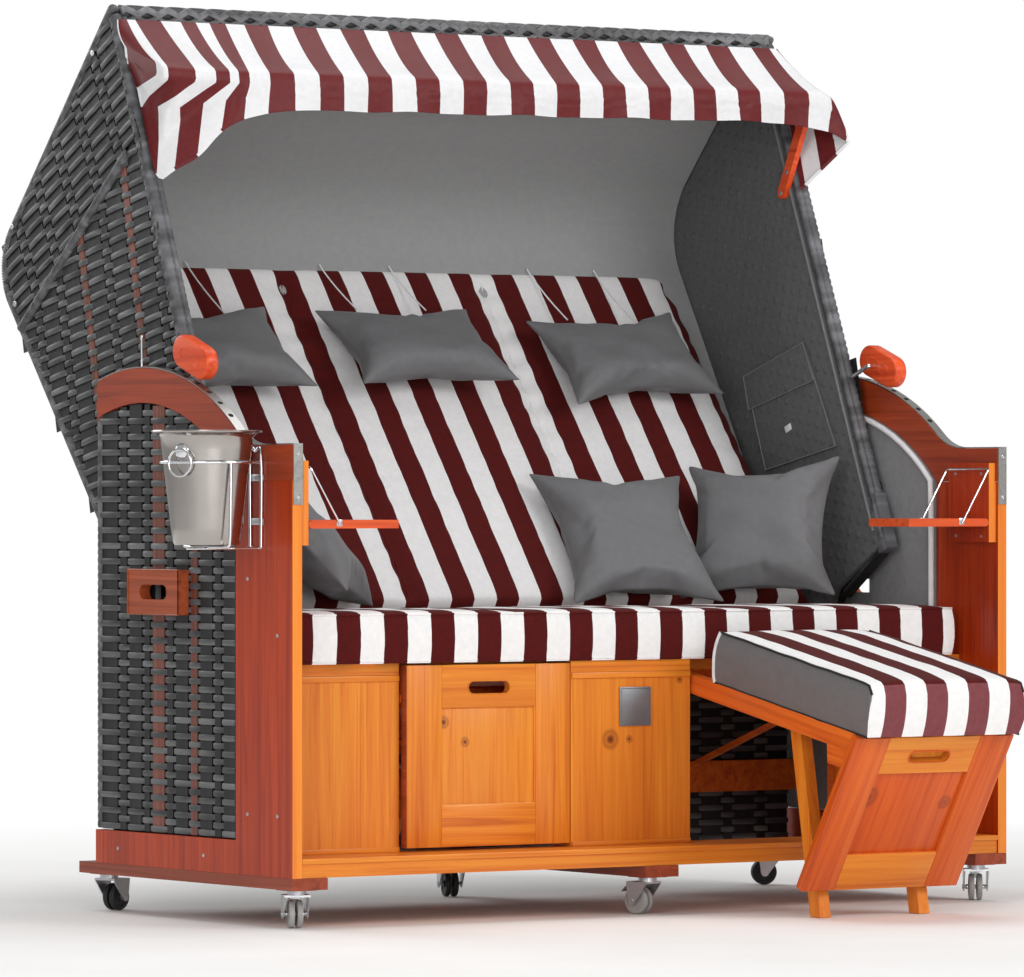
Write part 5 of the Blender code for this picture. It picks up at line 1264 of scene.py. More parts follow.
def make_hood_sides():
    """Woven hood sides with rods round them and a diagonal rib."""
    rib_a, rib_b = (-0.2383, 0.8964), (0.2418, 0.7486)
    for name, side in sides.items():
        def to_place(a, b, c, side=side):
            return Vector((side * (0.7575 + c), a, b))

        whole = hood_outline(0.012)
        slope = (rib_b[1] - rib_a[1]) / (rib_b[0] - rib_a[0])

        def split(keep_upper):
            kept = []
            count = len(whole)
            for i in range(count):
                p, q = whole[i], whole[(i + 1) % count]
                here = p[1] - (rib_a[1] + slope * (p[0] - rib_a[0]))
                there = q[1] - (rib_a[1] + slope * (q[0] - rib_a[0]))
                if (here > 0) == keep_upper:
                    kept.append(p)
                if here * there < 0:
                    share = here / (here - there)
                    kept.append((p[0] + (q[0] - p[0]) * share, p[1] + (q[1] - p[1]) * share))
            return kept

        plain = stave_places(-0.75, 0.9, 0.058, 0.020, 0.009)
        part_wood = stave_places(-0.75, 0.9, 0.052, 0.020, 0.0085, (15, 19))
        add_weave("hood_weave_upper_" + name, split(True), plain, to_place, "hood", strip_y,
                  ("hood_side_" + name,), -5.0, matrix=hood)
        add_weave("hood_weave_lower_" + name, split(False), part_wood, to_place, "hood", strip_y, (),
                  10.0,
                  matrix=hood)
        # Black sheet behind the hood's side weave: painted shade seen through its gaps.
        low, high = sorted((side * 0.7515, side * 0.7485))
        add_piece("hood_side_backing_" + name, plate(hood_outline(0.004), low, high, "X"), shade_black,
                  "hood",
                  (), 30.0, hood)
        rim = [Vector((side * 0.748, hood_front + 0.013, z)) for z in (0.110, 1.158)]
        add_piece("hood_front_rim_" + name, wrapped_rod(rim, 0.0130, 0.0143), wrapped_strip, "hood",
                  (), 50.0, hood)
        rim_inner = [Vector((side * 0.7345, hood_front + 0.008, z)) for z in (0.110, 1.152)]
        add_piece("hood_rim_inner_rod_" + name, wrapped_rod(rim_inner, 0.0072, 0.0143), wrapped_strip,
                  "hood", (), 50.0, hood)
        edge = [Vector((side * 0.7505, p[0], p[1])) for p in roof_line(0.0125)]
        edge = [Vector((side * 0.7505, hood_front + 0.008, 1.163))] + edge
        add_piece("hood_edge_tube_" + name, wrapped_rod(edge, 0.0122, 0.0050), wrapped_strip, "hood",
                  (), 60.0, hood)
        rib = [Vector((side * 0.7575, *rib_a)), Vector((side * 0.7575, *rib_b))]
        add_piece("hood_rib_" + name, wrapped_rod(rib, 0.0105, 0.0050), wrapped_strip, "hood",
                  (), 60.0, hood)
        bottom = [Vector((side * 0.7505, hood_front + 0.010, 0.104)),
                  Vector((side * 0.7505, -0.113, 0.062))]
        add_piece("hood_low_edge_" + name, wrapped_rod(bottom, 0.0080, 0.0143), wrapped_strip, "hood",
                  (), 50.0, hood)
        bolts = screws([(side * 0.7632, -0.198, 1.118), (side * 0.7632, 0.1958, 0.940),
                        (side * 0.7632, 0.2409, 0.800)], 0.006, (side, 0, 0))
        add_piece("hood_bolts_" + name, bolts, zinc, "hood", (), 40.0, hood)
        strip = [Vector((side * 0.7425, -0.284, 0.0905)), Vector((side * 0.7425, -0.118, 0.0515))]
        add_piece("hood_low_strip_" + name,
                  swept(strip, [(-0.012, -0.002), (0.012, -0.002), (0.012, 0.002), (-0.012, 0.002)],
                        (0, 0, 1)), black_iron, "hood", (), 30.0, hood)
        corner = [Vector((side * 0.7425, hood_front + 0.0115, 0.084)),
                  Vector((side * 0.7425, hood_front + 0.0115, 0.198))]
        guard = swept(corner, [(-0.0165, -0.0125), (0.0165, -0.0125), (0.0165, 0.0125),
                               (-0.0165, 0.0125)],
                      (1, 0, 0))
        add_piece("hood_corner_guard_" + name, guard, wrapped_strip, "hood", (), 30.0,
                  hood)


def make_hood_lining():
    """Cloth on the insides of the hood's sides, with a light emboss, and under the roof."""
    for name, side in sides.items():
        outline = hood_outline(0.020)
        low, high = sorted((side * 0.7480, side * 0.7285))
        slab = plate(outline, low, high, "X", bevel=0.003)
        add_piece("hood_side_lining_" + name, slab, side_cloth, "hood", (), 40.0, hood)
        welt = [Vector((side * 0.7275, hood_front + 0.024, z)) for z in (0.130, 1.140)]
        add_piece("hood_lining_welt_" + name, tube(welt, 0.0028, 8, (1, 0, 0)), arm_cloth, "hood",
                  (), 60.0, hood)
    roof_slope = (knee[1] - roof_front[1]) / (knee[0] - roof_front[0])
    drop = 0.0185 * math.hypot(1.0, roof_slope)
    start = Vector((-0.268, roof_front[1] + roof_slope * (-0.268 - roof_front[0]) - drop))
    corner = Vector((0.150, roof_front[1] + roof_slope * (0.150 - roof_front[0]) - drop))
    low_y, low_z = pad_plane(0.080, -0.0890)
    foot = Vector((low_y, low_z))
    bend = fillet_2d(start, corner, foot, 0.150, 12)
    middle = len(bend) // 2
    roof = [start.lerp(bend[0], i / 8) for i in range(8)] + bend[:middle + 1]
    back = bend[middle:] + [bend[-1].lerp(foot, i / 10) for i in range(1, 11)]
    columns = 24
    for name, line, out in (("roof_lining", roof, Vector((0, 0, -1))),
                            ("back_lining", back, Vector((0, -1, 0)))):
        grid = []
        for i, p in enumerate(line):
            hollow = 0.006 * math.sin(math.pi * i / (len(line) - 1)) if name == "roof_lining" else 0.0
            grid.append([Vector((0.7265 * a, p.x, p.y - hollow * (1 - a * a)))
                         for a in (2 * j / columns - 1 for j in range(columns + 1))])
        piece = add_piece(name, thick_sheet(grid, 0.002, lambda i, j: out), roof_cloth, "hood",
                          (),
                          60.0, hood)
        length = sum((b - a).length for a, b in zip(line, line[1:]))


def make_hood_shell():
    """Outer skin of roof and back: woven rows over a black sheet as painted shade in their gaps, bound at its ends.
    """
    line = roof_line(0.0, 12)
    lengths = [0.0]
    for a, b in zip(line, line[1:]):
        lengths.append(lengths[-1] + (b - a).length)
    total = lengths[-1]

    def to_place(a, b, c):
        at = min(max(b, 0.0), total)
        index = max(i for i in range(len(line) - 1) if lengths[i] <= at)
        share = (at - lengths[index]) / (lengths[index + 1] - lengths[index])
        p = line[index].lerp(line[index + 1], share)
        along = (line[index + 1] - line[index]).normalized()
        out = Vector((-along.y, along.x))
        p = p + out * (c - 0.0045)
        return Vector((a, p.x, p.y))

    reach = 0.737
    shapes, staves = [], stave_places(-reach, reach - 0.02, 0.052, 0.022, 0.0085)
    pitch = 0.0172
    section = strip_section(pitch * 0.86, 0.0016, 0.0007)
    for row in range(int(total / pitch)):
        level = pitch * (row + 0.5)
        up = (to_place(0, level + 0.002, 0) - to_place(0, level - 0.002, 0)).normalized()
        out = (to_place(0, level, 0.001) - to_place(0, level, 0.0)).normalized()
        stops = [(-reach, 0.0)]
        for index, (centre, width, _) in enumerate(staves):
            height = 0.0021 if (index + row) % 2 == 0 else -0.0021
            stops += [(centre - width * 0.4, height), (centre + width * 0.4, height)]
        stops.append((reach, 0.0))
        points = [to_place(a, level, c) + up * s + out * t for a, c in stops for s, t in section]
        shapes.append((points, skin(len(stops), len(section))))
    add_piece("hood_shell_weave", merged(shapes), strip_x, "hood", ("hood_shell",), 50.0,
              hood)
    bars = []
    for centre, width, _ in staves:
        grid = [[to_place(centre + s * width / 2, total * i / 40, 0.0009) for s in (-1,
                                                                                    1)] for i in range(41)]
        bars.append(thick_sheet(grid, 0.0018, lambda i, j: Vector((0, 0, 0)) + (
            to_place(0, total * i / 40, 0.001) - to_place(0, total * i / 40, 0.0)).normalized()))
    add_piece("hood_shell_staves", merged(bars), stave_dark, "hood", (), 40.0, hood)
    # Black sheet under the shell's weave: painted shade seen through its gaps.
    under = [[to_place(2 * 0.744 * j / 12 - 0.744, total * i / 40, -0.0035) for j in range(13)]
             for i in range(41)]
    backing = thick_sheet(under, 0.004, lambda i, j: (
        to_place(0, total * i / 40, 0.001) - to_place(0, total * i / 40, 0.0)).normalized())
    add_piece("roof_shell", backing, shade_black, "hood", (), 60.0, hood)


def make_braid():
    """Plaited border along the roof's front edge."""
    reach, waves = 0.742, 22
    for strand in range(3):
        for ply in range(3):
            path = []
            steps = waves * 10
            for i in range(steps + 1):
                x = -reach + 2 * reach * i / steps
                phase = 2 * math.pi * (waves / 2 * i / steps + strand / 3)
                z = 1.1615 + 0.0115 * math.sin(phase) + (ply - 1) * 0.0042
                y = hood_front + 0.004 - 0.0055 * math.cos(2 * phase)
                path.append(Vector((x, y, z)))
            add_piece("roof_braid_%d_%d" % (strand + 1, ply + 1), tube(path, 0.0030, 6, (0, 1, 0)),
                      braid_strip, "hood", (), 60.0, hood)
    bar = [Vector((x, hood_front + 0.012, 1.160)) for x in (-reach, reach)]
    add_piece("roof_front_bar", tube(bar, 0.0105, 10, (0, 1, 0)), stave_dark, "hood", (),
              60.0,
              hood)


def make_pocket():
    """Flat cloth pocket with a flap and a small white tab on the right lining."""
    x = 0.7262
    corners = [(0.0012, 0.5645), (-0.2003, 0.5497), (-0.2221, 0.3252), (0.0082, 0.3687)]
    pouch = plate(corners, x - 0.004, x + 0.002, "X", bevel=0.0015)
    add_piece("pocket_pouch", pouch, side_cloth, "hood", (), 40.0, hood)
    flap_corners = [(0.0035, 0.5665), (-0.2026, 0.5517), (-0.2085, 0.4700), (0.0118, 0.4985)]
    flap = plate(flap_corners, x - 0.0075, x - 0.0042, "X", bevel=0.0012)
    add_piece("pocket_flap", flap, side_cloth, "hood", (), 40.0, hood)
    seams = []
    for line, depth in ((corners, 0.0044), (flap_corners, 0.0078)):
        ring = [Vector((x - depth, y, z)) for y, z in line]
        for a, b in zip(ring, ring[1:] + ring[:1]):
            seams.append(tube([a, b], 0.0010, 6, (1, 0, 0)))
    add_piece("pocket_seams", merged(seams), arm_cloth, "hood", (), 60.0, hood)
    tab = board((x - 0.0065, -0.1035, 0.4095), (x - 0.0043, -0.0835, 0.4225), 0.0006)
    add_piece("pocket_tab", tab, piping_cloth, "hood", (), 40.0, hood)


# Awning

# Lines down the awning's cloth in hood coordinates: place across the cloth, X at the roof's
# edge, then the points before the bar, at the bend below it and at the hem or the hood's rim.
awning_lines = (
    (-0.965, -0.758, (-0.757, -0.2935, 1.090), (-0.757, -0.2935, 1.070), (-0.755, -0.2940, 1.060)),
    (-0.930, -0.745, (-0.760, -0.3450, 1.040), (-0.756, -0.3220, 1.030), (-0.745, -0.2940, 1.025)),
    (-0.903, -0.735, (-0.7605, -0.4060, 0.996), (-0.757, -0.3300, 0.987), (-0.740, -0.2940, 1.004)),
    (-0.8495, -0.722, (-0.755, -0.4125, 0.987), (-0.748, -0.3350, 0.970), (-0.742, -0.2940, 0.978)),
    (-0.796, -0.661, (-0.689, -0.4120, 0.985), (-0.7258, -0.3280, 0.956), (-0.746, -0.2980, 0.8114)),
    (-0.7425, -0.618, (-0.646, -0.4120, 0.985), (-0.6929, -0.3500, 0.947), (-0.7214, -0.3180, 0.8273)),
    (-0.689, -0.586, (-0.616, -0.4120, 0.985), (-0.6608, -0.3700, 0.939), (-0.6855, -0.3500, 0.8381)),
    (-0.6355, -0.557, (-0.598, -0.4120, 0.985), (-0.6216, -0.3880, 0.938), (-0.6373, -0.3750, 0.8847)),
    (-0.582, -0.522, (-0.577, -0.4120, 0.985), (-0.5846, -0.4000, 0.941), (-0.5905, -0.3920, 0.9048)),
    (-0.5285, -0.481, (-0.531, -0.4120, 0.985), (-0.5340, -0.4010, 0.945), (-0.5377, -0.3920, 0.9167)),
    (-0.420, -0.372, (-0.420, -0.4120, 0.985), (-0.4200, -0.4010, 0.948), (-0.4200, -0.3920, 0.926)),
    (0.000, 0.048, (0.000, -0.4120, 0.985), (0.0000, -0.4010, 0.950), (0.0000, -0.3920, 0.930)),
    (0.595, 0.638, (0.592, -0.4120, 0.988), (0.594, -0.4010, 0.955), (0.596, -0.3920, 0.9365)),
    (0.6485, 0.696, (0.6494, -0.4120, 0.988), (0.651, -0.4010, 0.955), (0.6528, -0.3920, 0.9363)),
    (0.702, 0.742, (0.7100, -0.4125, 0.988), (0.708, -0.4010, 0.952), (0.706, -0.3920, 0.9273)),
    (0.7555, 0.756, (0.7660, -0.4125, 0.984), (0.761, -0.3990, 0.948), (0.7543, -0.3900, 0.9213)),
    (0.800, 0.7585, (0.789, -0.3980, 0.940), (0.789, -0.3910, 0.920), (0.785, -0.3870, 0.908)),
    (0.820, 0.7585, (0.803, -0.3880, 0.905), (0.804, -0.3860, 0.900), (0.805, -0.3850, 0.896)))


def awning_line(s):
    """The four points of one line down the cloth, read between the lines above."""
    s = min(max(s, awning_lines[0][0]), awning_lines[-1][0])
    for first, second in zip(awning_lines, awning_lines[1:]):
        if s <= second[0]:
            break
    share = (s - first[0]) / (second[0] - first[0])
    root = Vector((first[1] + (second[1] - first[1]) * share, hood_front - 0.0025, 1.143))
    return [root] + [Vector(a).lerp(Vector(b), share) for a, b in zip(first[2:], second[2:])]


def awning_column(s):
    """One line down the cloth: slope, over the bar, the bar's tunnel seam, bend and hem."""
    near = [awning_line(s + d) for d in (-0.016, -0.008, 0.0, 0.008, 0.016)]
    root, front, bend, foot = [sum((line[k] for line in near), Vector((0, 0, 0))) / 5 for k in range(4)]
    crease = front + Vector((0.0, 0.0022, 0.0066))
    run = (crease - root).normalized()
    out = Vector((0.0, run.z, -run.y)).normalized()
    wave = math.sin(2 * math.pi * s / 0.245 + 0.7) + 0.5 * math.sin(2 * math.pi * s / 0.131)
    gather = noise.noise(Vector((s * 26, 0.4, 2.0))) + 0.7 * noise.noise(Vector((s * 60, 3.1, 5.0)))
    column = []
    for i in range(9):
        share = i / 8
        sag = 4 * share * (1 - share) * (0.005 + 0.0025 * wave)
        crimp = gather * 0.010 * share ** 3 * (1 - share)
        column.append(root.lerp(crease, share) - out * (sag - crimp))
    column.append(front.copy())
    column.append(front + Vector((0.0, 0.0030, -0.0138)))
    side = abs(s) / 0.97
    column.append((front + Vector((0.0, 0.0045 + gather * 0.0012, -0.0185))).lerp(bend,
                                                                                  0.15 * side ** 8))
    start = column[-1]
    for i in range(1, 5):
        share = i / 4
        crimp = gather * 0.0040 * math.sin(math.pi * (0.25 + 0.75 * share))
        column.append(start.lerp(bend, share) - Vector((0.0, crimp + 0.0020 * wave * share, 0.0)))
    start = column[-1]
    for i in range(1, 9):
        share = i / 8
        crimp = gather * 0.0026 * (1 - share) + 0.0032 * wave * share
        column.append(start.lerp(foot, share) - Vector((0.0, crimp * (1 if s > -0.8 else 0.3), 0.0)))
    return column


def clear_of_arm(point):
    """A point of the cloth below the bar, drawn out round the left wooden arm, which it hides."""
    hinge, bar = Vector((-0.7212, -0.250, 0.850)), Vector((-0.7212, -0.400, 0.985))
    along = (bar - hinge).normalized()
    ahead = Vector((0.0, -along.z, along.y))
    outward = (ahead * 0.758 - Vector((0.652, 0.0, 0.0))).normalized()
    sideways = (ahead * 0.652 + Vector((0.758, 0.0, 0.0))).normalized()
    offset = point - hinge
    if not 0.0 < offset.dot(along) < (bar - hinge).length:
        return point
    wanted = 0.020 - 0.9 * abs(offset.dot(sideways))
    return point + outward * max(0.0, wanted - offset.dot(outward))


def awning_grid():
    """The cloth's columns with their places across it; the last ones go back to the right rim."""
    first, last, gusset = awning_lines[0][0], awning_lines[-1][0], 0.165
    columns = []
    for i in range(212):
        s = first + (last - first) * i / 211
        line = awning_column(s)
        columns.append((s, line[:10] + [clear_of_arm(p) for p in line[10:]]))
    edge = awning_column(last)
    count = len(edge) - 1
    for step in range(1, 13):
        share = step / 12
        line = []
        for j, p in enumerate(edge):
            rim = Vector((0.7585, edge[0].y, edge[0].z)).lerp(Vector((0.731, -0.2945, 0.8372)),
                                                              j / count)
            line.append(p.lerp(rim, share))
        columns.append((last + gusset * share, line))
    return columns


def make_awning():
    columns = awning_grid()
    grid = [column for _, column in columns]

    def out(i, j):
        here = grid[i]
        down = here[min(j + 1, len(here) - 1)] - here[max(j - 1, 0)]
        across = grid[min(i + 1, len(grid) - 1)][j] - grid[max(i - 1, 0)][j]
        normal = across.cross(down)
        return normal.normalized() if normal.length > 1e-9 else Vector((0, -1, 0))

    shape = thick_sheet(grid, 0.0010, out)
    cloth = add_piece("awning_cloth", shape, awning_cloth, "hood", ("awning_cover",),
                      60.0,
                      hood)
    rows = len(grid[0])
    uv = cloth.data.uv_layers.new(name="cloth")
    count = len(grid) * rows
    for loop in cloth.data.loops:
        index = loop.vertex_index % count
        uv.data[loop.index].uv = (columns[index // rows][0], (index % rows) / rows)
    hem = [column[-1] + Vector((0.0, -0.0004, 0.001)) for column in grid]
    edge = swept(hem, strip_section(0.006, 0.0016, 0.0003), (0, 1, 0))
    hem_piece = add_piece("awning_hem", edge, awning_cloth, "hood", (), 60.0, hood)
    hem_uv = hem_piece.data.uv_layers.new(name="cloth")
    for loop in hem_piece.data.loops:
        index = min(loop.vertex_index // 6, len(hem) - 1)
        hem_uv.data[loop.index].uv = (columns[index][0], 0.0)
    for piece in (cloth, hem_piece):
        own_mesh(piece)
    for name, side in sides.items():
        heads = screws([(side * 0.7152, -0.250, 0.850), (side * 0.7152, -0.283, 0.880)], 0.0052,
                       (-side, 0, 0))
        add_piece("awning_arm_screws_" + name, heads, zinc, "awning_frame", (), 40.0,
                  hood)


# Fittings

def make_bucket():
    """Spun steel bucket with a rolled rim, pressed beads and a ring handle on each side."""
    centre = (-0.905, 0.118, 0.681)
    outer = [(0.0575, 0.0), (0.0600, 0.004), (0.0640, 0.030), (0.0722, 0.100), (0.0800, 0.168),
             (0.0826, 0.190),
             (0.0860, 0.195), (0.0950, 0.1985), (0.0975, 0.1990), (0.0990, 0.2010), (0.0975, 0.2030),
             (0.0945, 0.2020), (0.0835, 0.1975)]
    inner = [(0.0800, 0.190), (0.0775, 0.168), (0.0697, 0.100), (0.0615, 0.030), (0.0572, 0.0040),
             (0.0540, 0.0026), (0.0002, 0.0026), (0.0002, 0.0), (0.0500, 0.0), (0.0520, 0.0012)]
    add_piece("cooler_bucket", lathe(outer + inner, 72, centre), brushed_steel, "bucket",
              ("bucket",), 40.0)
    for index, angle in enumerate((205.0, 25.0)):
        way = Vector((math.cos(math.radians(angle)), math.sin(math.radians(angle)), 0.0))
        side = Vector((-way.y, way.x, 0.0))
        boss_at = Vector(centre) + way * 0.0805 + Vector((0, 0, 0.166))
        boss = lathe([(0.0002, -0.002), (0.014, -0.002), (0.013, 0.002), (0.009, 0.0045),
                      (0.0002, 0.0055)], 24)
        turn = Vector((0, 0, 1)).rotation_difference(way).to_matrix().to_4x4()
        ring_at = boss_at + way * 0.0052 + Vector((0, 0, -0.0215))
        ring = [ring_at + side * 0.0235 * math.cos(t * math.pi / 16)
                + Vector((0, 0, 0.0235 * math.sin(t * math.pi / 16))) for t in range(32)]
        add_piece("bucket_ring_%d" % (index + 1),
                  merged([moved(boss, Matrix.Translation(boss_at) @ turn),
                          tube(ring, 0.0022, 8, tuple(way), True)]), chrome_wire, "bucket",
                  (), 60.0)


def make_bucket_holder():
    """Bent wire loop on the post with a ring round the bucket, a stirrup and a foot under it."""
    x, y, low, level, ring_r = -0.905, 0.118, 0.6775, 0.827, 0.0815
    wall, spread = -0.8030, 0.018
    loop = [Vector((wall, y - spread, low)), Vector((wall, y - spread, 0.838)),
            Vector((wall, y, 0.8475)), Vector((wall, y + spread, 0.838)), Vector((wall, y + spread,
                                                                                  low))]
    opening = math.degrees(math.asin(spread / ring_r))
    around = [Vector((a, b, level)) for a, b in arc_points((x, y), ring_r, opening, 360.0 - opening,
                                                           40)]
    around = [Vector((wall, y + spread, level))] + around + [Vector((wall, y - spread, level))]
    stirrup = [Vector((x, y - ring_r, level)), Vector((x, y - ring_r + 0.001, level - 0.060)),
               Vector((x, y - ring_r + 0.004, low + 0.012)), Vector((x, y - ring_r + 0.016, low)),
               Vector((x, y, low)), Vector((x, y + ring_r - 0.016, low)),
               Vector((x, y + ring_r - 0.004, low + 0.012)), Vector((x, y + ring_r - 0.001,
                                                                     level - 0.060)),
               Vector((x, y + ring_r, level))]
    foot = [Vector((wall, y - spread, low)), Vector((wall - 0.006, y - spread * 0.5, low - 0.003)),
            Vector((x - 0.040, y, low - 0.003)), Vector((wall - 0.006, y + spread * 0.5, low - 0.003)),
            Vector((wall, y + spread, low))]
    wires = [tube(smooth_path(loop, 5), 0.003, 10, (1, 0, 0)), tube(around, 0.003, 10),
             tube(smooth_path(stirrup, 4), 0.003, 10, (1, 0, 0)), tube(smooth_path(foot, 4), 0.0025,
                                                                       10)]
    add_piece("bucket_holder_wires", merged(wires), chrome_wire, "carcass",
              ("bucket_holder",),
              60.0)
    tabs = [board((wall - 0.0006, y - spread - 0.006, z - 0.006),
                  (wall + 0.0026, y + spread + 0.006, z + 0.006),
                  0.0008) for z in (0.722, 0.800)]
    heads = screws([(wall - 0.0006, y, z) for z in (0.722, 0.800)], 0.0034, (-1, 0, 0))
    add_piece("bucket_holder_tabs", merged(tabs + [heads]), zinc, "carcass")


def make_grips():
    """Lacquered grips with eased edges and a long groove in each face."""
    for name, side in sides.items():
        at = hood @ Matrix.Rotation(math.radians(grip_lean), 4,
                                    "X") @ Matrix.Translation((side * 0.780, 0.0, 0.562))
        lean = Matrix.Rotation(math.radians(4.0), 4, "X")
        half, reach = 0.030, 0.0325
        outline = arc_points((reach, 0.0), half, -90, 90, 14) + arc_points((-reach, 0.0), half, 90, 270,
                                                                           14)
        groove = arc_points((reach * 0.72, 0.0), 0.0095, -90, 90, 8) + arc_points((-reach * 0.72, 0.0),
                                                                                  0.0095, 90, 270, 8)
        block_body = plate(outline, -0.0138, 0.0138, "X", bevel=0.0055, segments=4)
        add_piece("latch_grip_" + name, moved(block_body, lean), grip_pine, "latch_" + name,
                  ("latch_" + name,), 50.0, at)
        lips = []
        for face in (-1, 1):
            ring = [Vector((face * 0.0136, a, b)) for a, b in groove]
            lips.append(tube(ring, 0.0016, 8, (1, 0, 0), True))
            low, high = sorted((face * 0.0130, face * 0.0141))
            lips.append(plate(groove, low, high, "X"))
        add_piece("latch_grip_groove_" + name, moved(merged(lips), lean), grip_pine, "latch_" + name,
                  (), 50.0, at)
        pin = lathe([(0.0002, -0.0355), (0.0045, -0.0355), (0.0050, -0.0340), (0.0050, 0.0),
                     (0.0002, 0.0)], 14)
        across = side * (0.020 - 0.040 - 0.016)
        to_rim = 0.562 * math.sin(math.radians(grip_lean)) - 0.290 - 0.0003
        corners = [Vector((0, 0, 0)), Vector((across * 0.8, 0, 0)), Vector((across, 0.004, -0.003)),
                   Vector((across, to_rim * math.cos(math.radians(grip_lean)),
                           -to_rim * math.sin(math.radians(grip_lean))))]
        rod = tube(smooth_path(corners, 4), 0.0042, 10, (0, 0, 1))
        add_piece("latch_rod_" + name, merged([pin, rod]), chrome_wire, "latch_" + name,
                  (), 50.0,
                  at)


def make_castors():
    """Twin-wheel castors: treads with a groove, hub caps, pressed forks and a brake lever."""
    places = {"front_left": (-0.763, 0.046, -24.0), "front_middle": (0.0, 0.046, 18.0),
              "front_right": (0.763, 0.046, -34.0), "rear_left": (-0.763, 0.694, -70.0),
              "rear_middle": (0.0, 0.694, -20.0), "rear_right": (0.763, 0.694, 60.0)}
    for name, (x, y, turn) in places.items():
        front = name.startswith("front")
        tread = grey_wheel if front else dark_wheel
        at = chair @ Matrix.Translation((x, y, 0.0)) @ Matrix.Rotation(math.radians(turn), 4, "Z")
        axle_y = 0.020
        wheels = []
        for side in (-1, 1):
            inner, outer = 0.0022, 0.0108 + 0.0020
            profile = [(0.0046, inner), (0.0170, inner), (0.0238, inner + 0.0006),
                       (0.0249, inner + 0.0026),
                       (0.0250, (inner + outer) / 2), (0.0249, outer - 0.0026), (0.0236,
                                                                                 outer - 0.0004),
                       (0.0175, outer), (0.0165, outer - 0.0016), (0.0080, outer - 0.0016), (0.0072,
                                                                                             outer),
                       (0.0046, outer)]
            shape = lathe([(r, side * h) for r, h in profile], 40, (0.0, axle_y, 0.025), "X")
            wheels.append(shape)
        add_piece("castor_treads_" + name, merged(wheels), tread, "wheels_" + name,
                  ("castor_wheels_" + name,), 35.0, at)
        dress("castor_fork_" + name, zinc)
        caps = []
        for side in (-1, 1):
            caps.append(lathe([(0.0002, side * 0.0172), (0.0040, side * 0.0172),
                               (0.0052, side * 0.0162),
                               (0.0052, side * 0.0150), (0.0002, side * 0.0150)], 20, (0.0, axle_y,
                                                                                       0.025), "X"))
        add_piece("castor_axle_caps_" + name, merged(caps), chrome_wire, "castor_" + name,
                  (), 40.0,
                  at)
        if not front:
            continue
        lever = swept([Vector((0, 0.012, 0.0535)), Vector((0, 0.034, 0.0535)),
                       Vector((0, 0.046, 0.0485)),
                       Vector((0, 0.0535, 0.0405))],
                      [(-0.009, -0.0008), (0.009, -0.0008), (0.009, 0.0008), (-0.009, 0.0008)], (0, 0,
                                                                                                 1))
        add_piece("castor_brake_" + name, lever, zinc, "castor_" + name, (), 30.0, at)


def make_shelf_fittings():
    """Screws of the shelf plates, and the stays' end loops."""
    for name, side in sides.items():
        x = side * 0.7624
        places = [(x, 0.030, 0.810), (x, 0.108, 0.810), (x, 0.030, 0.692), (x, 0.108, 0.692)]
        add_piece("shelf_plate_screws_" + name, screws(places, 0.0034, (-side, 0, 0)), zinc, "carcass")
        clips = []
        for y in (0.0075, 0.1285):
            clips.append(board((side * 0.6975 - 0.006, y - 0.0022, 0.7135),
                               (side * 0.6975 + 0.006, y + 0.0022, 0.7260), 0.0006))
        add_piece("shelf_stay_clips_" + name, merged(clips), zinc, "shelf_" + name, (),
                  30.0)


# Room, light and camera

def make_floor():
    """Pale floor that keeps the chair's shadow and turns plain white far from it."""
    floor = bpy.data.meshes.new("floor")
    reach = 30.0
    floor.from_pydata([(-reach, -reach, -0.0005), (reach, -reach, -0.0005), (reach, reach, -0.0005),
                       (-reach, reach, -0.0005)], [], [(0, 1, 2, 3)])
    made = bpy.data.objects.new("floor", floor)
    bpy.context.scene.collection.objects.link(made)
    s = Shader("pale_studio_floor", Roughness=0.75, Specular_IOR_Level=0.2)
    speck = s.add("TexNoise", {"Vector": s.place, "Scale": 3.0, "Detail": 2.0})
    pale = s.add("ValToRGB", {0: speck}, stops=((0.3, "#F4F3F1"), (0.7, "#F8F7F6")))
    floor.materials.append(s.finish(pale))
    away = s.add("VectorMath", {0: s.place, 1: chair_origin}, "Value", operation="DISTANCE")
    reach = s.add("Math", {0: away, 1: 6.0}, operation="DIVIDE")
    far = s.add("ValToRGB", {0: reach}, stops=((0.22, 0.0), (0.62, 1.0)))
    camera_ray = s.add("LightPath", out="Is Camera Ray")
    seen = s.add("Math", {0: far, 1: camera_ray}, operation="MULTIPLY")
    white = s.add("Emission", {"Color": "#FFFFFF", "Strength": 1.0})
    faded = s.add("MixShader", {0: seen, 1: s.surface.outputs[0], 2: white})
    s.tree.links.new(faded, s.tree.nodes["Material Output"].inputs["Surface"])


def area_light(name, place, aim, size, power, colour="#FFFFFF"):
    lamp = bpy.data.lights.new(name, "AREA")
    lamp.shape = "RECTANGLE"
    lamp.size, lamp.size_y = size
    lamp.energy = power
    lamp.color = srgb(colour)[:3]
    made = bpy.data.objects.new(name, lamp)
    made.location = chair_origin + Vector(place)
    made.rotation_euler = (Vector(aim) - Vector(place)).to_track_quat("-Z", "Y").to_euler()
    bpy.context.scene.collection.objects.link(made)


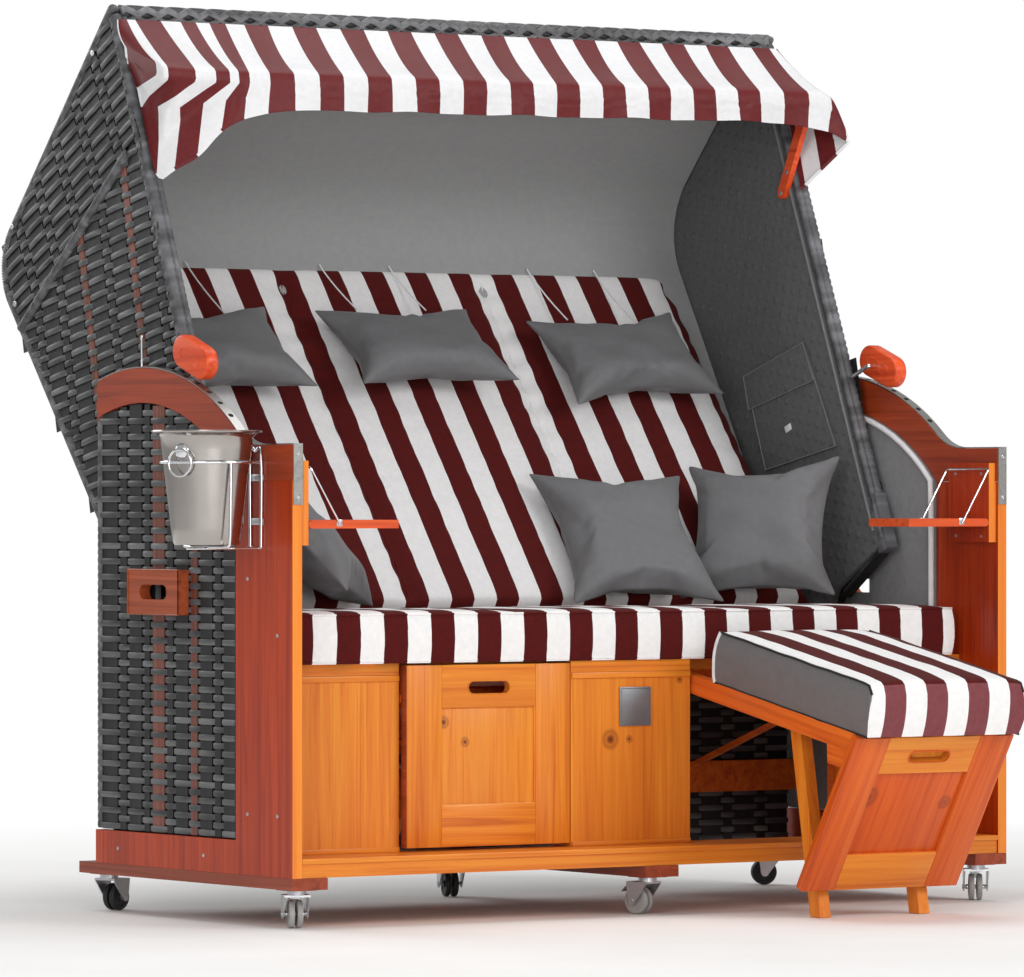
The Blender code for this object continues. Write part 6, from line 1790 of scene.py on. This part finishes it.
def make_light():
    """Large soft lamps round the chair and a world that only the camera sees as white."""
    area_light("key_softbox", (2.4, -4.8, 3.2), (0.0, 0.2, 0.7), (2.6, 2.2), 122.0)
    area_light("fill_softbox", (-4.6, -3.4, 2.2), (0.0, 0.3, 0.8), (2.6, 2.6), 80.0)
    area_light("front_softbox", (-2.2, -5.6, 0.9), (0.0, 0.3, 1.1), (3.0, 1.6), 60.0)
    area_light("top_softbox", (0.0, 0.6, 4.6), (0.0, 0.4, 0.0), (4.0, 3.0), 85.0)
    area_light("back_softbox", (-1.5, 4.6, 2.6), (0.0, 0.4, 0.9), (3.0, 2.0), 60.0)
    world = bpy.data.worlds.new("studio")
    bpy.context.scene.world = world
    world.use_nodes = True
    tree = world.node_tree
    base = tree.nodes["Background"]
    base.inputs["Color"].default_value = srgb("#FFFFFF")
    base.inputs["Strength"].default_value = 0.40
    white = add_node(tree, "Background", {"Color": "#FFFFFF", "Strength": 1.0})
    camera_ray = add_node(tree, "LightPath", out="Is Camera Ray")
    clear_ray = add_node(tree, "LightPath", out="Is Transmission Ray")
    seen = add_node(tree, "Math", {0: camera_ray, 1: clear_ray}, operation="MAXIMUM")
    shown = add_node(tree, "MixShader", {0: seen, 1: base.outputs[0], 2: white})
    tree.links.new(shown, tree.nodes["World Output"].inputs["Surface"])


def make_camera():
    camera = bpy.data.cameras.new("camera")
    camera.sensor_width = 36.0
    camera.lens = 241.95
    camera.shift_y = 0.0072
    camera.clip_end = 100.0
    made = bpy.data.objects.new("camera", camera)
    made.location = chair_origin + Vector((-7.2927, -10.2774, 0.7678))
    made.rotation_euler = Vector((0.56077, 0.82797, 0.0)).to_track_quat("-Z", "Y").to_euler()
    bpy.context.scene.collection.objects.link(made)
    bpy.context.scene.camera = made


make_camera()
dress_carcass()
make_arch_metal()
make_sides()
make_rear_wall()
make_fronts()
make_seat_cushion()
make_backrest()
make_pillows()
make_neck_straps()
make_footrest_cushion()
make_hood_shell()
make_hood_sides()
make_hood_lining()
make_braid()
make_pocket()
make_awning()
make_bucket()
make_bucket_holder()
make_grips()
make_castors()
make_shelf_fittings()
make_floor()
make_light()
bpy.context.scene.view_settings.view_transform = "Standard"
